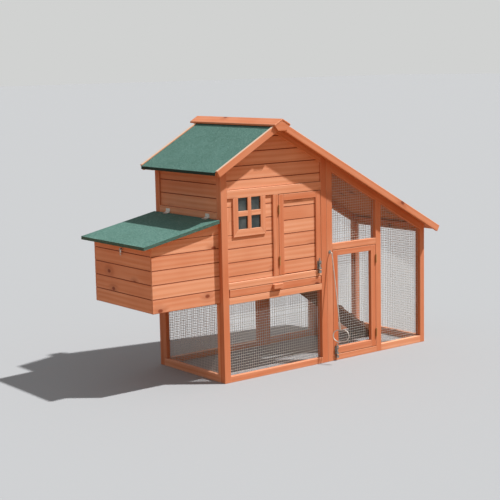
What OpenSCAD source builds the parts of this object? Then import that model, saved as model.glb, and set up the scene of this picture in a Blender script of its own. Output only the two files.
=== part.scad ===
// Wooden chicken coop: a raised house with a nest box on its left and a wire run on its right.
// Millimetres, +Z up, front towards -Y. The origin lies under the middle of the whole coop.

/* [Plan] */
// Length of the house over its posts
house_l = 633; // [600:1:680]
// Length of the run over its posts
run_l = 670; // [640:1:720]
// Depth over the posts, front to back
depth = 530; // [500:1:580]
// Square section of the posts
post = 35; // [30:1:38]
// Width of the posts at the run's end
end_post_w = 29; // [26:1:35]
// Gap between the two posts where house and run meet
post_gap = 1; // [0.5:0.5:3]
// Clear width of the run door's bay, from the run's first post
run_bay = 290; // [270:1:320]

/* [Levels] */
// Height of the rails on the ground
ground_rail_h = 35; // [25:1:45]
// Height of those rails at the front of the house and under the run door
front_rail_h = 29; // [22:1:45]
// Underside of the house's lower rails
lower_rail_z = 366; // [340:1:390]
// Height of the lower rails
lower_rail_h = 30; // [24:1:36]
// Height of the slot for the tray
tray_slot_h = 40; // [34:1:46]
// Height of the rail over the tray
sill_rail_h = 30; // [24:1:36]
// Height of the house door's opening
door_open_h = 387; // [370:1:400]
// Height of the lintel over door and window
lintel_h = 39; // [34:1:50]
// Top of the cross rail over the run door
cross_rail_z = 583; // [560:1:600]
// Height of the cross rail
cross_rail_h = 31; // [24:1:36]

/* [Frame] */
// Thickness of the rails, measured into the coop
rail_t = 20; // [18:1:24]
// Height of the sloping rails under the run's roof
rafter_h = 40; // [30:1:46]
// Height of the sloping rails on the gable
gable_rail_h = 30; // [22:1:36]
// Width of the stile between window and door
mid_stile_w = 32; // [28:1:42]
// Distance of that stile from the front left post
mid_stile_off = 267; // [250:1:275]
// Height of the rail that carries the nest lid's hinges
header_rail_h = 32; // [28:1:40]
// Width of the stiles beside the wire under the nest box
side_stile_w = 17; // [12:1:22]
// Joint between two members of one frame
seam = 0.3; // [0.2:0.1:0.6]

/* [Boards] */
// Height of one cladding board
board_h = 64; // [56:1:72]
// Thickness of the cladding boards
board_t = 10; // [8:0.5:12]
// Distance of the cladding behind the face of the frame
board_set = 7; // [6:0.5:12]
// Joint between two boards
board_gap = 0.4; // [0.2:0.1:1]
// Height of the lowest, cut board on the house front
first_board_h = 28; // [20:1:40]

/* [Roof] */
// Distance of the ridge from the left face of the house
ridge_off = 312; // [290:1:330]
// Height of the roof boards at the ridge
ridge_z = 1189; // [1160:1:1220]
// Pitch of both slopes, in degrees
roof_pitch = 29.25; // [28.5:0.25:30]
// Thickness of the roof boards
roof_t = 12; // [9:0.5:15]
// Overhang of the left eave
eave_over = 60; // [45:1:75]
// Overhang of the roof past the end of the run
end_over = 54; // [40:1:70]
// Overhang of the roof boards at the front
verge_over = 44; // [36:1:52]
// Overhang of the roof boards at the back
verge_back = 22; // [14:1:30]
// Thickness of the barge boards
barge_t = 14; // [10:1:18]
// Upright height of the barge boards
barge_h = 37; // [32:1:44]
// Height of the barge boards above the roof boards
barge_rise = 9; // [7:0.5:11]
// Thickness of the roofing felt
felt_t = 3; // [2:0.5:4]
// Depth of the felt's turned-down edge at the eaves
felt_lip = 12; // [8:1:16]
// Width of each ridge cap board, measured level
cap_w = 46; // [40:1:56]
// Thickness of the ridge cap boards
cap_t = 8; // [6:0.5:12]
// Length of the ridge cap past the posts, front and back
cap_over = 70; // [55:1:80]
// Half width of the plate that covers the barge boards' joint
apex_half_w = 44; // [38:1:50]
// Half width of that plate at its foot
apex_foot = 25; // [20:1:30]
// Height of that plate from its foot to its point
apex_h = 47; // [42:1:56]
// Thickness of that plate
apex_t = 10; // [6:1:11]

/* [Window] */
// Width of the window frame
window_w = 189; // [175:1:195]
// Distance of the window frame from the front left post
window_off = 34; // [30:1:44]
// Height of the window frame under the lintel
window_h = 178; // [172:1:184]
// Width of the window frame's sides
window_side_w = 29; // [22:1:34]
// Height of the window sill
window_sill_h = 33; // [28:1:38]
// Width of the upright glazing bar
window_bar_w = 20; // [16:1:26]
// Height of the level glazing bar
window_rail_h = 24; // [18:1:28]
// Height of the upper pair of panes
window_top_pane_h = 61; // [52:1:66]
// Thickness of the window frame
window_t = 7; // [5:0.5:10]
// Thickness of the clear pane
pane_t = 2; // [1.5:0.5:3]

/* [Doors] */
// Gap between a door and its frame, filled by the hinge leaves at one side
door_gap = 2.6; // [2.4:0.1:3.2]
// Thickness of the doors
door_t = 20; // [18:1:22]
// Width of the house door's stiles
house_stile_w = 30; // [28:1:40]
// Height of the house door's top rail
house_top_h = 31; // [28:1:40]
// Depth of the house door's boards behind its face
door_board_set = 7; // [6:0.5:9]
// Width of the run door's stiles
run_stile_w = 31; // [25:1:34]
// Height of the run door's top rail
run_top_h = 27; // [20:1:32]
// Height of the run door's bottom rail
run_bottom_h = 34; // [26:1:38]

/* [Nest box] */
// Length of the nest box out from the house
nest_l = 367; // [340:1:390]
// Underside of the nest box
nest_z = 374; // [360:1:390]
// Distance of the nest's side walls from the posts' front and back faces
nest_set = 25; // [16:1:25]
// Slope of the nest lid, in degrees
lid_pitch = 11.2; // [9:0.2:13]
// Height of the lid's felt where it meets the house
lid_top_z = 764; // [750:1:770]
// Overhang of the lid past the nest's left wall
lid_over = 51; // [40:1:60]
// Thickness of the lid board
lid_t = 12; // [10:0.5:18]
// Gap between lid and house for the hinge barrels
lid_gap = 9; // [8.6:0.1:11]
// Section of the corner battens
batten = 18; // [14:1:22]

/* [Tray] */
// Height of the tray's side walls
tray_wall_h = 32; // [26:1:34]
// Sheet thickness of the tray
tray_t = 1; // [0.8:0.1:1.5]
// Running clearance round the tray
tray_clear = 1; // [0.6:0.1:2]
// Gap at both ends of the tray front
tray_end_gap = 5; // [2:0.5:8]
// Gap over and under the tray front
tray_edge_gap = 2.5; // [1:0.5:4]
// Width of the floor slats under the tray
slat_w = 40; // [30:1:50]
// Number of floor slats
slat_n = 5; // [3:1:6]
// Length of the wooden handle on the tray front
handle_l = 54; // [40:1:70]
// Height of the handle
handle_h = 22; // [16:1:28]
// Depth of the handle
handle_d = 16; // [12:1:22]

/* [Pop hole] */
// Width of the pop hole
pop_w = 206; // [180:1:214]
// Distance of the pop hole from the back posts
pop_off = 19; // [16:1:26]
// Number of boards left out for the pop hole
pop_rows = 3; // [2:1:4]
// Lap of the pop door over the edge of its hole
pop_lap = 9; // [7:1:12]
// Thickness of the pop door
pop_t = 12; // [9:0.5:14]
// Running clearance of the pop door in its guides
pop_clear = 0.5; // [0.4:0.1:1]
// Thickness of the guide strips
guide_t = 12; // [10:1:14]
// Diameter of the pull rod
rod_d = 5; // [4:0.5:6]
// Height of the pull rod where it passes the post
rod_z = 545; // [525:1:560]
// Clearance round the rod in the post's hole
rod_clear = 0.6; // [0.4:0.1:1]
// Length of the rod's hanging leg down to its loop
rod_drop = 372; // [340:1:390]
// Lean of the hanging leg away from the post, in degrees
rod_lean = 8.5; // [6:0.5:10]
// Bend radius of the rod
rod_bend = 10; // [8:1:14]
// Width of the hand loop
loop_w = 90; // [76:1:96]
// Height of the hand loop
loop_h = 62; // [50:1:66]
// Turn of the hand loop about the leg, in degrees
loop_turn = 68; // [64:1:76]

/* [Ramp] */
// Width of the ramp
ramp_w = 225; // [200:1:230]
// Slope of the ramp, as rise over run
ramp_slope = 0.7; // [0.68:0.01:0.74]
// Thickness of the ramp board
ramp_t = 12; // [10:0.5:15]
// Height of the batten that carries the ramp's head
ledger_h = 38; // [32:1:42]
// Width of the ramp's rungs
rung_w = 14; // [10:1:20]
// Height of the ramp's rungs
rung_h = 6; // [5:0.5:12]
// Distance between rungs along the level
rung_pitch = 75; // [60:1:100]

/* [Wire mesh] */
// Spacing of the wires of the mesh panels
mesh_pitch = 38; // [30:1:46]
// Thickness of the mesh wire
wire_d = 1.2; // [1:0.1:2]
// Lap of the mesh behind the rails
mesh_lap = 15; // [10:1:18]

/* [Perch] */
// Section of the perch
perch = 28; // [24:1:34]
// Height of the perch above the tray
perch_up = 130; // [110:1:160]

/* [Hardware] */
// Length of each door hinge
hinge_l = 44; // [36:2:56]
// Length of each nest lid hinge
lid_hinge_l = 32; // [28:2:40]
// Outer radius of the hinge barrels
barrel_r = 3.4; // [3:0.1:3.8]
// Radius of the hinge pins
pin_r = 1.5; // [1.2:0.1:1.8]
// Radial running clearance of pins and bolts
fit = 0.06; // [0.04:0.01:0.1]
// Gap between hinge knuckles
knuckle_gap = 0.4; // [0.3:0.1:0.8]
// Thickness of hinge leaves in the door gap
leaf_t = 0.9; // [0.7:0.1:1]
// Length of the hinge leaves
leaf_l = 16; // [12:1:18]
// Thickness of plates and visible hinge leaves
plate_t = 1.5; // [1:0.1:2]
// Length of the lid hinges' leaves
lid_leaf_l = 19; // [18:1:28]
// Distance of the hinges from the ends of what they carry
hinge_in = 70; // [50:1:90]
// Diameter of the tower bolts
bolt_d = 6; // [5:0.5:7]
// Travel of the tower bolts
bolt_travel = 15; // [12:1:16]
// Height of the tower bolts' plates
bolt_plate_h = 40; // [39:1:46]
// Width of the tower bolts' plates
bolt_plate_w = 20; // [16:1:24]
// Distance from hook pivot to catch pin
hook_r = 20; // [18:0.5:24]
// Diameter of the hook's pivot and catch pin
hook_pin_d = 4; // [3:0.5:5]
// Distance of the hook's plate from the nest box
hook_out = 8.5; // [7:0.5:10]
// Distance of the catch's bracket from the hook's plate
catch_out = 5; // [4:0.5:6]
// Depth of the catch pin below the lid
catch_drop = 10; // [8:0.5:12]
// Clearance between a hinge barrel and the face behind it
barrel_clear = 0.4; // [0.3:0.1:0.6]

/* [Hidden] */
$fn = 48;

// Plan lines along X
p1 = 0;
p2 = house_l - post;
p3 = house_l + post_gap;
p4 = p3 + post + run_bay;
p5 = p3 + run_l - end_post_w;
end_x = p5 + end_post_w;
inner_y = depth - post;
bay_x0 = post;
bay_x1 = p2;
stile_x0 = post + mid_stile_off;
stile_x1 = stile_x0 + mid_stile_w;

// Levels
tray_z = lower_rail_z + lower_rail_h;
sill_z = tray_z + tray_slot_h;
door_z = sill_z + sill_rail_h;
lintel_z = door_z + door_open_h;
gable_z = lintel_z + lintel_h;
door_plane = rail_t - door_t;

// Roof lines
roof_tan = tan(roof_pitch);
roof_cos = cos(roof_pitch);
roof_x0 = -eave_over;
roof_x1 = end_x + end_over;
verge_y0 = -verge_over;
verge_y1 = depth + verge_back;
function roof_z(x) = ridge_z - abs(x - ridge_off) * roof_tan;
function under_z(x) = roof_z(x) - roof_t / roof_cos;
function felt_z(x) = roof_z(x) + felt_t / roof_cos;
function rafter_z(x) = under_z(x) - rafter_h;
function barge_z(x) = roof_z(x) + barge_rise;
function cap_z(x) = barge_z(x) + cap_t / roof_cos;

// Nest box lines
lid_tan = tan(lid_pitch);
lid_cos = cos(lid_pitch);
lid_x0 = -nest_l - lid_over;
lid_x1 = -lid_gap;
function lid_felt_z(x) = lid_top_z + x * lid_tan;
function lid_board_z(x) = lid_felt_z(x) - felt_t / lid_cos;
function lid_under_z(x) = lid_board_z(x) - lid_t / lid_cos;
lid_rest = 0.4;
function nest_top_z(x) = lid_under_z(x) - lid_rest;
nest_y0 = nest_set;
nest_y1 = depth - nest_set;
header_z = lid_top_z - lid_gap / 2;

// Pop hole and pull rod
part_x0 = p2 + rail_t;
part_x1 = part_x0 + board_t;
hole_y1 = inner_y - pop_off;
hole_y0 = hole_y1 - pop_w;
hole_z0 = sill_z;
hole_z1 = hole_z0 + pop_rows * board_h;
pop_x0 = part_x1 + pop_clear;
pop_x1 = pop_x0 + pop_t;
pop_y0 = hole_y0 - pop_lap;
pop_y1 = hole_y1 + pop_lap;
pop_z0 = hole_z0 - pop_lap;
pop_z1 = hole_z1 + pop_lap;
rod_x = p3 + post / 2;
rod_block = 20;
rod_wall = 4;
rod_stop = 2;
rod_sides = 12;
rod_end_y = pop_y0 + rod_block;
rod_r = rod_d / 2;
rod_front = 6;
loop_r = (loop_h - rod_d) / 2;
loop_half = (loop_w - loop_h) / 2;
leg_y0 = -rod_front - rod_bend * cos(rod_lean);
leg_z0 = rod_z - rod_bend * (1 - sin(rod_lean));
loop_c = rod_drop + loop_r;
loop_y = leg_y0 - loop_c * sin(rod_lean);
loop_side_y = cos(rod_lean) * sin(loop_turn);
loop_reach = loop_half * loop_side_y + loop_r * sqrt(pow(loop_side_y, 2) + pow(sin(rod_lean), 2)) + rod_r;

// Ramp
ramp_x0 = part_x1 + guide_t + pop_t + 2 * pop_clear + guide_t / 2;
ledger_z1 = pop_z0 - pop_clear - guide_t;
ramp_seat = 10;
ramp_z0 = ledger_z1 - ramp_seat;
ramp_x1 = ramp_x0 + ramp_z0 / ramp_slope;
ramp_side = 8;
ramp_y1 = hole_y1 + ramp_side;
ramp_y0 = ramp_y1 - ramp_w;
ramp_v = ramp_t * sqrt(1 + pow(ramp_slope, 2));

// Doors and hardware
hd_x0 = stile_x1 + door_gap;
hd_x1 = bay_x1 - door_gap;
hd_z0 = door_z + door_gap;
hd_z1 = lintel_z - door_gap;
rd_x0 = p3 + post + door_gap;
rd_x1 = p4 - door_gap;
rd_z0 = front_rail_h + door_gap;
rd_z1 = cross_rail_z - cross_rail_h - door_gap;
barrel_y = -barrel_r - barrel_clear;
house_hinge_x = stile_x1 + door_gap / 2;
run_hinge_x = p4 - door_gap / 2;
house_hinge_z = [hd_z0 + hinge_in, hd_z1 - hinge_in];
run_hinge_z = [rd_z0 + hinge_in, rd_z1 - hinge_in];
lid_axis_x = -lid_gap / 2;
lid_axis_z = lid_felt_z(lid_axis_x) + plate_t / 2 / lid_cos;
lid_hinge_y = [post + hinge_in, inner_y - hinge_in];
bolt_y = -plate_t - bolt_d / 2 - 2;
house_bolt_x = hd_x1 - house_stile_w / 2;
run_bolt_x = rd_x0 + run_stile_w / 2;
hook_y = depth / 2;
hook_face_x = -nest_l;
hook_plate_x = hook_face_x - hook_out;
catch_x = hook_plate_x - catch_out;
catch_z = lid_under_z(catch_x - plate_t - 1) - catch_drop;
hook_z = catch_z - hook_r;

// The whole coop's box, whose middle is the origin
all_x0 = lid_x0 - felt_t;
all_x1 = roof_x1 + felt_t;
all_y0 = min(-cap_over, loop_y - loop_reach);
all_y1 = depth + cap_over;

wood = "#d9885c";
wood_dark = "#a85f3a";
felt = "#3f7a66";
metal = "#a9a9a4";

module place() {
  translate([-(all_x0 + all_x1) / 2, -(all_y0 + all_y1) / 2, 0]) children();
}

// A box between two corners
module block(x0, x1, y0, y1, z0, z1) {
  translate([x0, y0, z0]) cube([x1 - x0, y1 - y0, z1 - z0]);
}

// An outline in X and Z, run from y0 to y1
module prism(pts, y0, y1) {
  translate([0, y1, 0]) rotate([90, 0, 0]) linear_extrude(y1 - y0) polygon(pts);
}

// A round bar from a point along Y
module bar_y(x, y0, y1, z, r) {
  translate([x, y0, z]) rotate([-90, 0, 0]) cylinder(h = y1 - y0, r = r);
}

// A round bar from a point along X
module bar_x(x0, x1, y, z, r) {
  translate([x0, y, z]) rotate([0, 90, 0]) cylinder(h = x1 - x0, r = r);
}

// Front and back copies of what is drawn at the front
module both_faces() {
  children();
  translate([0, depth, 0]) mirror([0, 1, 0]) children();
}

// The back copy of what is drawn at the front
module back_face() {
  translate([0, depth, 0]) mirror([0, 1, 0]) children();
}

// Heights of the board rows from z0 to z1, the first one cut
function row_cuts(z0, z1, first) =
  concat([z0], [for (z = z0 + first; z < z1 - board_h / 5; z = z + board_h) z], [z1]);

// A row of a wall, between two lengths
module board_row(x0, x1, y0, z0, z1) {
  block(x0, x1, y0, y0 + board_t, z0 + board_gap / 2, z1 - board_gap / 2);
}

// The space under both roof slopes
module under_roof() {
  low = lower_rail_z;
  prism([[roof_x0, low], [roof_x1, low], [roof_x1, under_z(roof_x1)],
    [ridge_off, under_z(ridge_off)], [roof_x0, under_z(roof_x0)]], -depth, 2 * depth);
}

// A post that runs up to the roof
module roof_post(x, w = post) {
  prism([[x, 0], [x + w, 0], [x + w, under_z(x + w)], [x, under_z(x)]], 0, post);
}

// A post that runs up to the sloping rail
module rail_post(x) {
  prism([[x, 0], [x + post, 0], [x + post, rafter_z(x + post)], [x, rafter_z(x)]], 0, post);
}

module house_posts() {
  roof_post(p1);
  roof_post(p2);
}

module front_house_posts() {
  color(wood) place() house_posts();
}

module back_house_posts() {
  color(wood) place() back_face() house_posts();
}

module run_posts() {
  rail_post(p4);
  roof_post(p5, end_post_w);
}

module front_run_posts() {
  color(wood) place() {
    run_posts();
    difference() {
      roof_post(p3);
      bar_y(rod_x, -1, post + 1, rod_z, rod_r + rod_clear);
    }
  }
}

module back_run_posts() {
  color(wood) place() back_face() {
    run_posts();
    roof_post(p3);
  }
}

// A sloping rail under the roof
module slope_rail(x0, x1, h, t) {
  prism([[x0, under_z(x0) - h], [x1, under_z(x1) - h], [x1, under_z(x1)], [x0, under_z(x0)]], 0, t);
}

module house_rails() {
  block(bay_x0, bay_x1, 0, rail_t, 0, front_rail_h);
  block(bay_x0, bay_x1, 0, rail_t, lower_rail_z, tray_z);
  block(bay_x0, bay_x1, 0, rail_t, sill_z, door_z);
  block(bay_x0, bay_x1, 0, rail_t, lintel_z, gable_z);
  slope_rail(bay_x0, ridge_off - seam, gable_rail_h, board_set);
  slope_rail(ridge_off + seam, bay_x1, gable_rail_h, board_set);
}

module front_house_frame() {
  color(wood) place() {
    house_rails();
    block(stile_x0, stile_x1, 0, rail_t, door_z + seam, lintel_z - seam);
  }
}

module back_house_frame() {
  color(wood) place() back_face() {
    house_rails();
    block(bay_x0, bay_x1, 0, rail_t, tray_z + seam, sill_z - seam);
  }
}

module left_wall_frame() {
  color(wood) place() {
    block(0, rail_t, post, inner_y, 0, ground_rail_h);
    block(0, rail_t, post, inner_y, lower_rail_z, tray_z);
    block(0, rail_t, post, inner_y, tray_z + seam, door_z);
    block(0, rail_t, post, inner_y, header_z, header_z + header_rail_h);
    block(0, rail_t, post, inner_y, under_z(0) - rafter_h, under_z(0));
    both_faces() block(0, rail_t, post, post + side_stile_w, ground_rail_h + seam, lower_rail_z - seam);
  }
}

module partition_frame() {
  jamb = rail_t;
  top = under_z(part_x0);
  color(wood_dark) place() {
    block(p2, part_x1, post, inner_y, lower_rail_z, tray_z);
    block(p2, part_x0, post, inner_y, top - rafter_h, top);
    block(p2, part_x0, hole_y0 - jamb, hole_y0, tray_z + seam, hole_z1);
    block(p2, part_x0, hole_y1, inner_y, tray_z + seam, hole_z1);
    block(part_x1 + seam, ramp_x0, ramp_y0, ramp_y1, ledger_z1 - ledger_h, ledger_z1);
  }
}

module run_slope_rails() {
  slope_rail(p3 + post, p5, rafter_h, rail_t);
}

module front_run_rails() {
  color(wood) place() {
    run_slope_rails();
    block(p3 + post, p4, 0, rail_t, cross_rail_z - cross_rail_h, cross_rail_z);
    block(p3 + post, p4, 0, rail_t, 0, front_rail_h);
    block(p4 + post, p5, 0, rail_t, 0, ground_rail_h);
  }
}

module back_run_rails() {
  color(wood) place() back_face() {
    run_slope_rails();
    block(p3 + post, p4, 0, rail_t, 0, ground_rail_h);
    block(p4 + post, p5, 0, rail_t, 0, ground_rail_h);
  }
}

module right_end_rails() {
  color(wood) place() {
    block(end_x - rail_t, end_x, post, inner_y, 0, ground_rail_h);
    block(end_x - rail_t, end_x, post, inner_y, under_z(end_x) - rafter_h, under_z(end_x));
  }
}

// Rows over the lintel, cut to the roof's slopes
module gable_rows() {
  cuts = row_cuts(gable_z, under_z(ridge_off), board_h * 2 / 3);
  for (i = [0:len(cuts) - 2]) intersection() {
    board_row(bay_x0, bay_x1, board_set, cuts[i], cuts[i + 1]);
    under_roof();
  }
}

win_x0 = post + window_off;
win_x1 = win_x0 + window_w;
glass_x0 = win_x0 + window_side_w - 6;
glass_x1 = win_x1 - window_side_w + 6;

module front_wall_boards() {
  cuts = row_cuts(door_z, lintel_z, first_board_h);
  low = lintel_z - window_h;
  color(wood) place() {
    gable_rows();
    for (i = [0:len(cuts) - 2]) {
      if (cuts[i] > low) {
        board_row(bay_x0, glass_x0, board_set, cuts[i], cuts[i + 1]);
        board_row(glass_x1, stile_x0, board_set, cuts[i], cuts[i + 1]);
      } else {
        board_row(bay_x0, stile_x0, board_set, cuts[i], cuts[i + 1]);
      }
    }
  }
}

module back_wall_boards() {
  cuts = row_cuts(door_z, lintel_z, first_board_h);
  color(wood) place() back_face() {
    gable_rows();
    for (i = [0:len(cuts) - 2]) board_row(bay_x0, bay_x1, board_set, cuts[i], cuts[i + 1]);
  }
}

module left_wall_boards() {
  z0 = header_z + header_rail_h;
  z1 = under_z(0) - rafter_h;
  cuts = row_cuts(z0, z1, board_h);
  color(wood) place() for (i = [0:len(cuts) - 2])
    block(board_set, board_set + board_t, post, inner_y,
      cuts[i] + board_gap / 2, cuts[i + 1] - board_gap / 2);
}

// One board of the wall between house and run
module partition_row(y0, y1, z0, z1) {
  block(part_x0, part_x1, y0, y1, z0 + board_gap / 2, z1 - board_gap / 2);
}

module partition_boards() {
  cuts = row_cuts(tray_z, under_z(part_x1), tray_slot_h);
  color(wood_dark) place() for (i = [0:len(cuts) - 2]) {
    if (i >= 1 && i <= pop_rows) {
      partition_row(post, hole_y0, cuts[i], cuts[i + 1]);
      partition_row(hole_y1, inner_y, cuts[i], cuts[i + 1]);
    } else {
      partition_row(post, inner_y, cuts[i], cuts[i + 1]);
    }
  }
}

// The frame stands on a sill that is mitred into its sides
module window_frame() {
  y0 = board_set - window_t;
  y1 = board_set;
  z0 = lintel_z - window_h;
  sill = z0 + window_sill_h;
  mid_x = (win_x0 + win_x1 - window_bar_w) / 2;
  bar_z1 = lintel_z - window_top_pane_h;
  inner_x0 = win_x0 + window_side_w;
  inner_x1 = win_x1 - window_side_w;
  cut = 2 * seam;
  color(wood) place() {
    prism([[win_x0, z0], [win_x1, z0], [inner_x1, sill], [inner_x0, sill]], y0, y1);
    prism([[win_x0, z0 + cut], [inner_x0, sill + cut], [inner_x0, lintel_z], [win_x0, lintel_z]], y0, y1);
    prism([[inner_x1, sill + cut], [win_x1, z0 + cut], [win_x1, lintel_z], [inner_x1, lintel_z]], y0, y1);
    block(mid_x, mid_x + window_bar_w, y0, y1, sill + seam, lintel_z);
    block(inner_x0 + seam, mid_x - seam, y0, y1, bar_z1 - window_rail_h, bar_z1);
    block(mid_x + window_bar_w + seam, inner_x1 - seam, y0, y1, bar_z1 - window_rail_h, bar_z1);
  }
}

module window_pane() {
  cuts = row_cuts(door_z, lintel_z, first_board_h);
  z0 = min([for (z = cuts) if (z > lintel_z - window_h) z]);
  color("#5c6a6a") place() block(glass_x0, glass_x1, board_set, board_set + pane_t, z0, lintel_z);
}

module floor_slats() {
  span = bay_x1 - bay_x0 - slat_w;
  color(wood_dark) place() for (i = [0:slat_n - 1])
    translate([bay_x0 + i * span / (slat_n - 1), 0, 0])
      block(0, slat_w, rail_t, depth - rail_t, low_net_z1, tray_z);
}

module perch_bar() {
  x = (bay_x0 + stile_x0) / 2;
  z = sill_z + perch_up;
  y = board_set + board_t;
  color(wood_dark) place() block(x, x + perch, y, depth - y, z, z + perch);
}

// The space under the nest lid
module under_lid() {
  prism([[lid_x0, 0], [0, 0], [0, nest_top_z(0)], [lid_x0, nest_top_z(lid_x0)]], 0, depth);
}

module nest_wall_boards() {
  side_cuts = row_cuts(nest_z, nest_top_z(0), board_h);
  end_cuts = row_cuts(nest_z, nest_top_z(-nest_l), board_h);
  color(wood) place() {
    both_faces() for (i = [0:len(side_cuts) - 2]) intersection() {
      board_row(-nest_l, 0, nest_y0, side_cuts[i], side_cuts[i + 1]);
      under_lid();
    }
    for (i = [0:len(end_cuts) - 2])
      block(-nest_l, -nest_l + board_t, nest_y0 + board_t + seam, nest_y1 - board_t - seam,
        end_cuts[i] + board_gap / 2, end_cuts[i + 1] - board_gap / 2);
  }
}

module nest_floor() {
  color(wood_dark) place()
    block(-nest_l + board_t, 0, nest_y0 + board_t, nest_y1 - board_t, nest_z, nest_z + board_t);
}

module nest_battens() {
  x = -nest_l + board_t;
  y = nest_y0 + board_t;
  z = nest_z + board_t;
  color(wood_dark) place() both_faces() {
    block(x, x + batten, y, y + batten, z, nest_top_z(x));
    block(-batten, 0, y, y + batten, z, nest_top_z(-batten));
  }
}

module nest_divider() {
  x0 = -nest_l + board_t;
  z = nest_z + board_t;
  color(wood_dark) place()
    prism([[x0, z], [0, z], [0, header_z - board_h], [x0, nest_top_z(x0) - board_h / 2]],
      (depth - board_t) / 2, (depth + board_t) / 2);
}

// Roof boards of one slope
module slope_boards(x0, x1) {
  prism([[x0, under_z(x0)], [x1, under_z(x1)], [x1, roof_z(x1)], [x0, roof_z(x0)]], verge_y0, verge_y1);
}

module left_roof_boards() {
  color(wood_dark) place() slope_boards(roof_x0, ridge_off);
}

module right_roof_boards() {
  color(wood_dark) place() slope_boards(ridge_off, roof_x1);
}

module left_roof_felt() {
  x = roof_x0;
  color(felt) place()
    prism([[x, roof_z(x)], [ridge_off, ridge_z], [ridge_off, felt_z(ridge_off)],
      [x - felt_t, felt_z(x - felt_t)], [x - felt_t, roof_z(x) - felt_lip],
      [x, roof_z(x) - felt_lip]], verge_y0, verge_y1);
}

module right_roof_felt() {
  x = roof_x1;
  color(felt) place()
    prism([[ridge_off, ridge_z], [x, roof_z(x)], [x, roof_z(x) - felt_lip],
      [x + felt_t, roof_z(x) - felt_lip], [x + felt_t, felt_z(x + felt_t)],
      [ridge_off, felt_z(ridge_off)]], verge_y0, verge_y1);
}

module ridge_cap() {
  x0 = ridge_off - cap_w;
  x1 = ridge_off + cap_w;
  color(wood) place() {
    for (e = [[x0, ridge_off - seam], [ridge_off + seam, x1]])
      prism([[e[0], barge_z(e[0])], [e[1], barge_z(e[1])], [e[1], cap_z(e[1])], [e[0], cap_z(e[0])]],
        -cap_over, depth + cap_over);
  }
}

// A barge board from the ridge to an eave, plumb at the ridge and cut square at the eave
module barge(ridge, eave, over) {
  cut = barge_h * roof_cos;
  low_x = eave + sign(ridge - eave) * cut * sin(roof_pitch);
  prism([[ridge, barge_z(ridge) - barge_h], [ridge, barge_z(ridge)], [eave, barge_z(eave)],
    [low_x, barge_z(eave) - cut * roof_cos]], -over - barge_t, -over);
}

// The barge boards and the plate over their joint
module barge_set(over) {
  x0 = ridge_off - apex_half_w;
  x1 = ridge_off + apex_half_w;
  top = barge_z(ridge_off);
  front = -over - barge_t - seam;
  barge(ridge_off - seam, roof_x0, over);
  barge(ridge_off + seam, roof_x1, over);
  prism([[ridge_off - apex_foot, top - apex_h], [ridge_off + apex_foot, top - apex_h], [x1, barge_z(x1)],
    [ridge_off, top], [x0, barge_z(x0)]], front - apex_t, front);
}

module front_barge_boards() {
  color(wood) place() barge_set(verge_over);
}

module back_barge_boards() {
  color(wood) place() back_face() barge_set(verge_back);
}

// A flat welded net along X with a sloping top: upright wires, and level wires behind them
module wire_net(x0, x1, z0, top0, top1) {
  grade = (top1 - top0) / (x1 - x0);
  columns = max(2, round((x1 - x0 - wire_d) / mesh_pitch));
  rows = max(1, round((max(top0, top1) - z0) / mesh_pitch));
  step_x = (x1 - x0 - wire_d) / columns;
  step_z = (max(top0, top1) - z0) / rows;
  rim = wire_d * sqrt(1 + pow(grade, 2));
  back0 = wire_d + weld_gap;
  back1 = back0 + wire_d;
  for (i = [0:columns])
    let (x = x0 + i * step_x)
      block(x, x + wire_d, 0, wire_d, z0, min(top0 + grade * (x - x0), top0 + grade * (x + wire_d - x0)));
  for (j = [0:rows - 1])
    let (z = z0 + j * step_z, meet = x0 + (z + wire_d + rim + weld_gap - top0) / (grade == 0 ? 1 : grade))
    let (a = grade > 0 ? max(x0, meet) : x0, b = grade < 0 ? min(x1, meet) : x1)
      if (b - a > step_x) block(a, b, back0, back1, z, z + wire_d);
  prism([[x0, top0 - rim], [x1, top1 - rim], [x1, top1], [x0, top0]], back0, back1);
}

// The net with its face on y, going back from there
module net_x(x0, x1, z0, top0, top1, y) {
  translate([0, y, 0]) wire_net(x0, x1, z0, top0, top1);
}

// The net stood along Y with its face on x, going right from there
module net_y(y0, y1, z0, top, x) {
  translate([x, 0, 0]) mirror([1, -1, 0]) wire_net(y0, y1, z0, top, top);
}

edge = wire_d;
weld_gap = 0.05;
low_net_z0 = ground_rail_h - mesh_lap;
low_net_z1 = lower_rail_z + mesh_lap;

module house_net() {
  net_x(bay_x0 + edge, bay_x1 - edge, low_net_z0, low_net_z1, low_net_z1, rail_t);
}

module front_lower_mesh() {
  color(metal) place() house_net();
}

module back_lower_mesh() {
  color(metal) place() back_face() house_net();
}

module left_lower_mesh() {
  color(metal) place() net_y(post + edge, inner_y - edge, low_net_z0, low_net_z1, rail_t);
}

// A net between two run posts up to the sloping rail
module bay_net(x0, x1, z0) {
  net_x(x0 + edge, x1 - edge, z0, rafter_z(x0) + mesh_lap, rafter_z(x1) + mesh_lap, rail_t);
}

module run_upper_mesh() {
  color(metal) place() bay_net(p3 + post, p4, cross_rail_z - mesh_lap);
}

module run_side_mesh() {
  color(metal) place() bay_net(p4 + post, p5, low_net_z0);
}

module run_back_mesh() {
  color(metal) place() back_face() {
    bay_net(p3 + post, p4, low_net_z0);
    bay_net(p4 + post, p5, low_net_z0);
  }
}

module run_end_mesh() {
  color(metal) place() translate([end_x, 0, 0]) mirror([1, 0, 0])
    net_y(post + edge, inner_y - edge, low_net_z0, under_z(end_x) - rafter_h + mesh_lap, rail_t);
}

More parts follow.
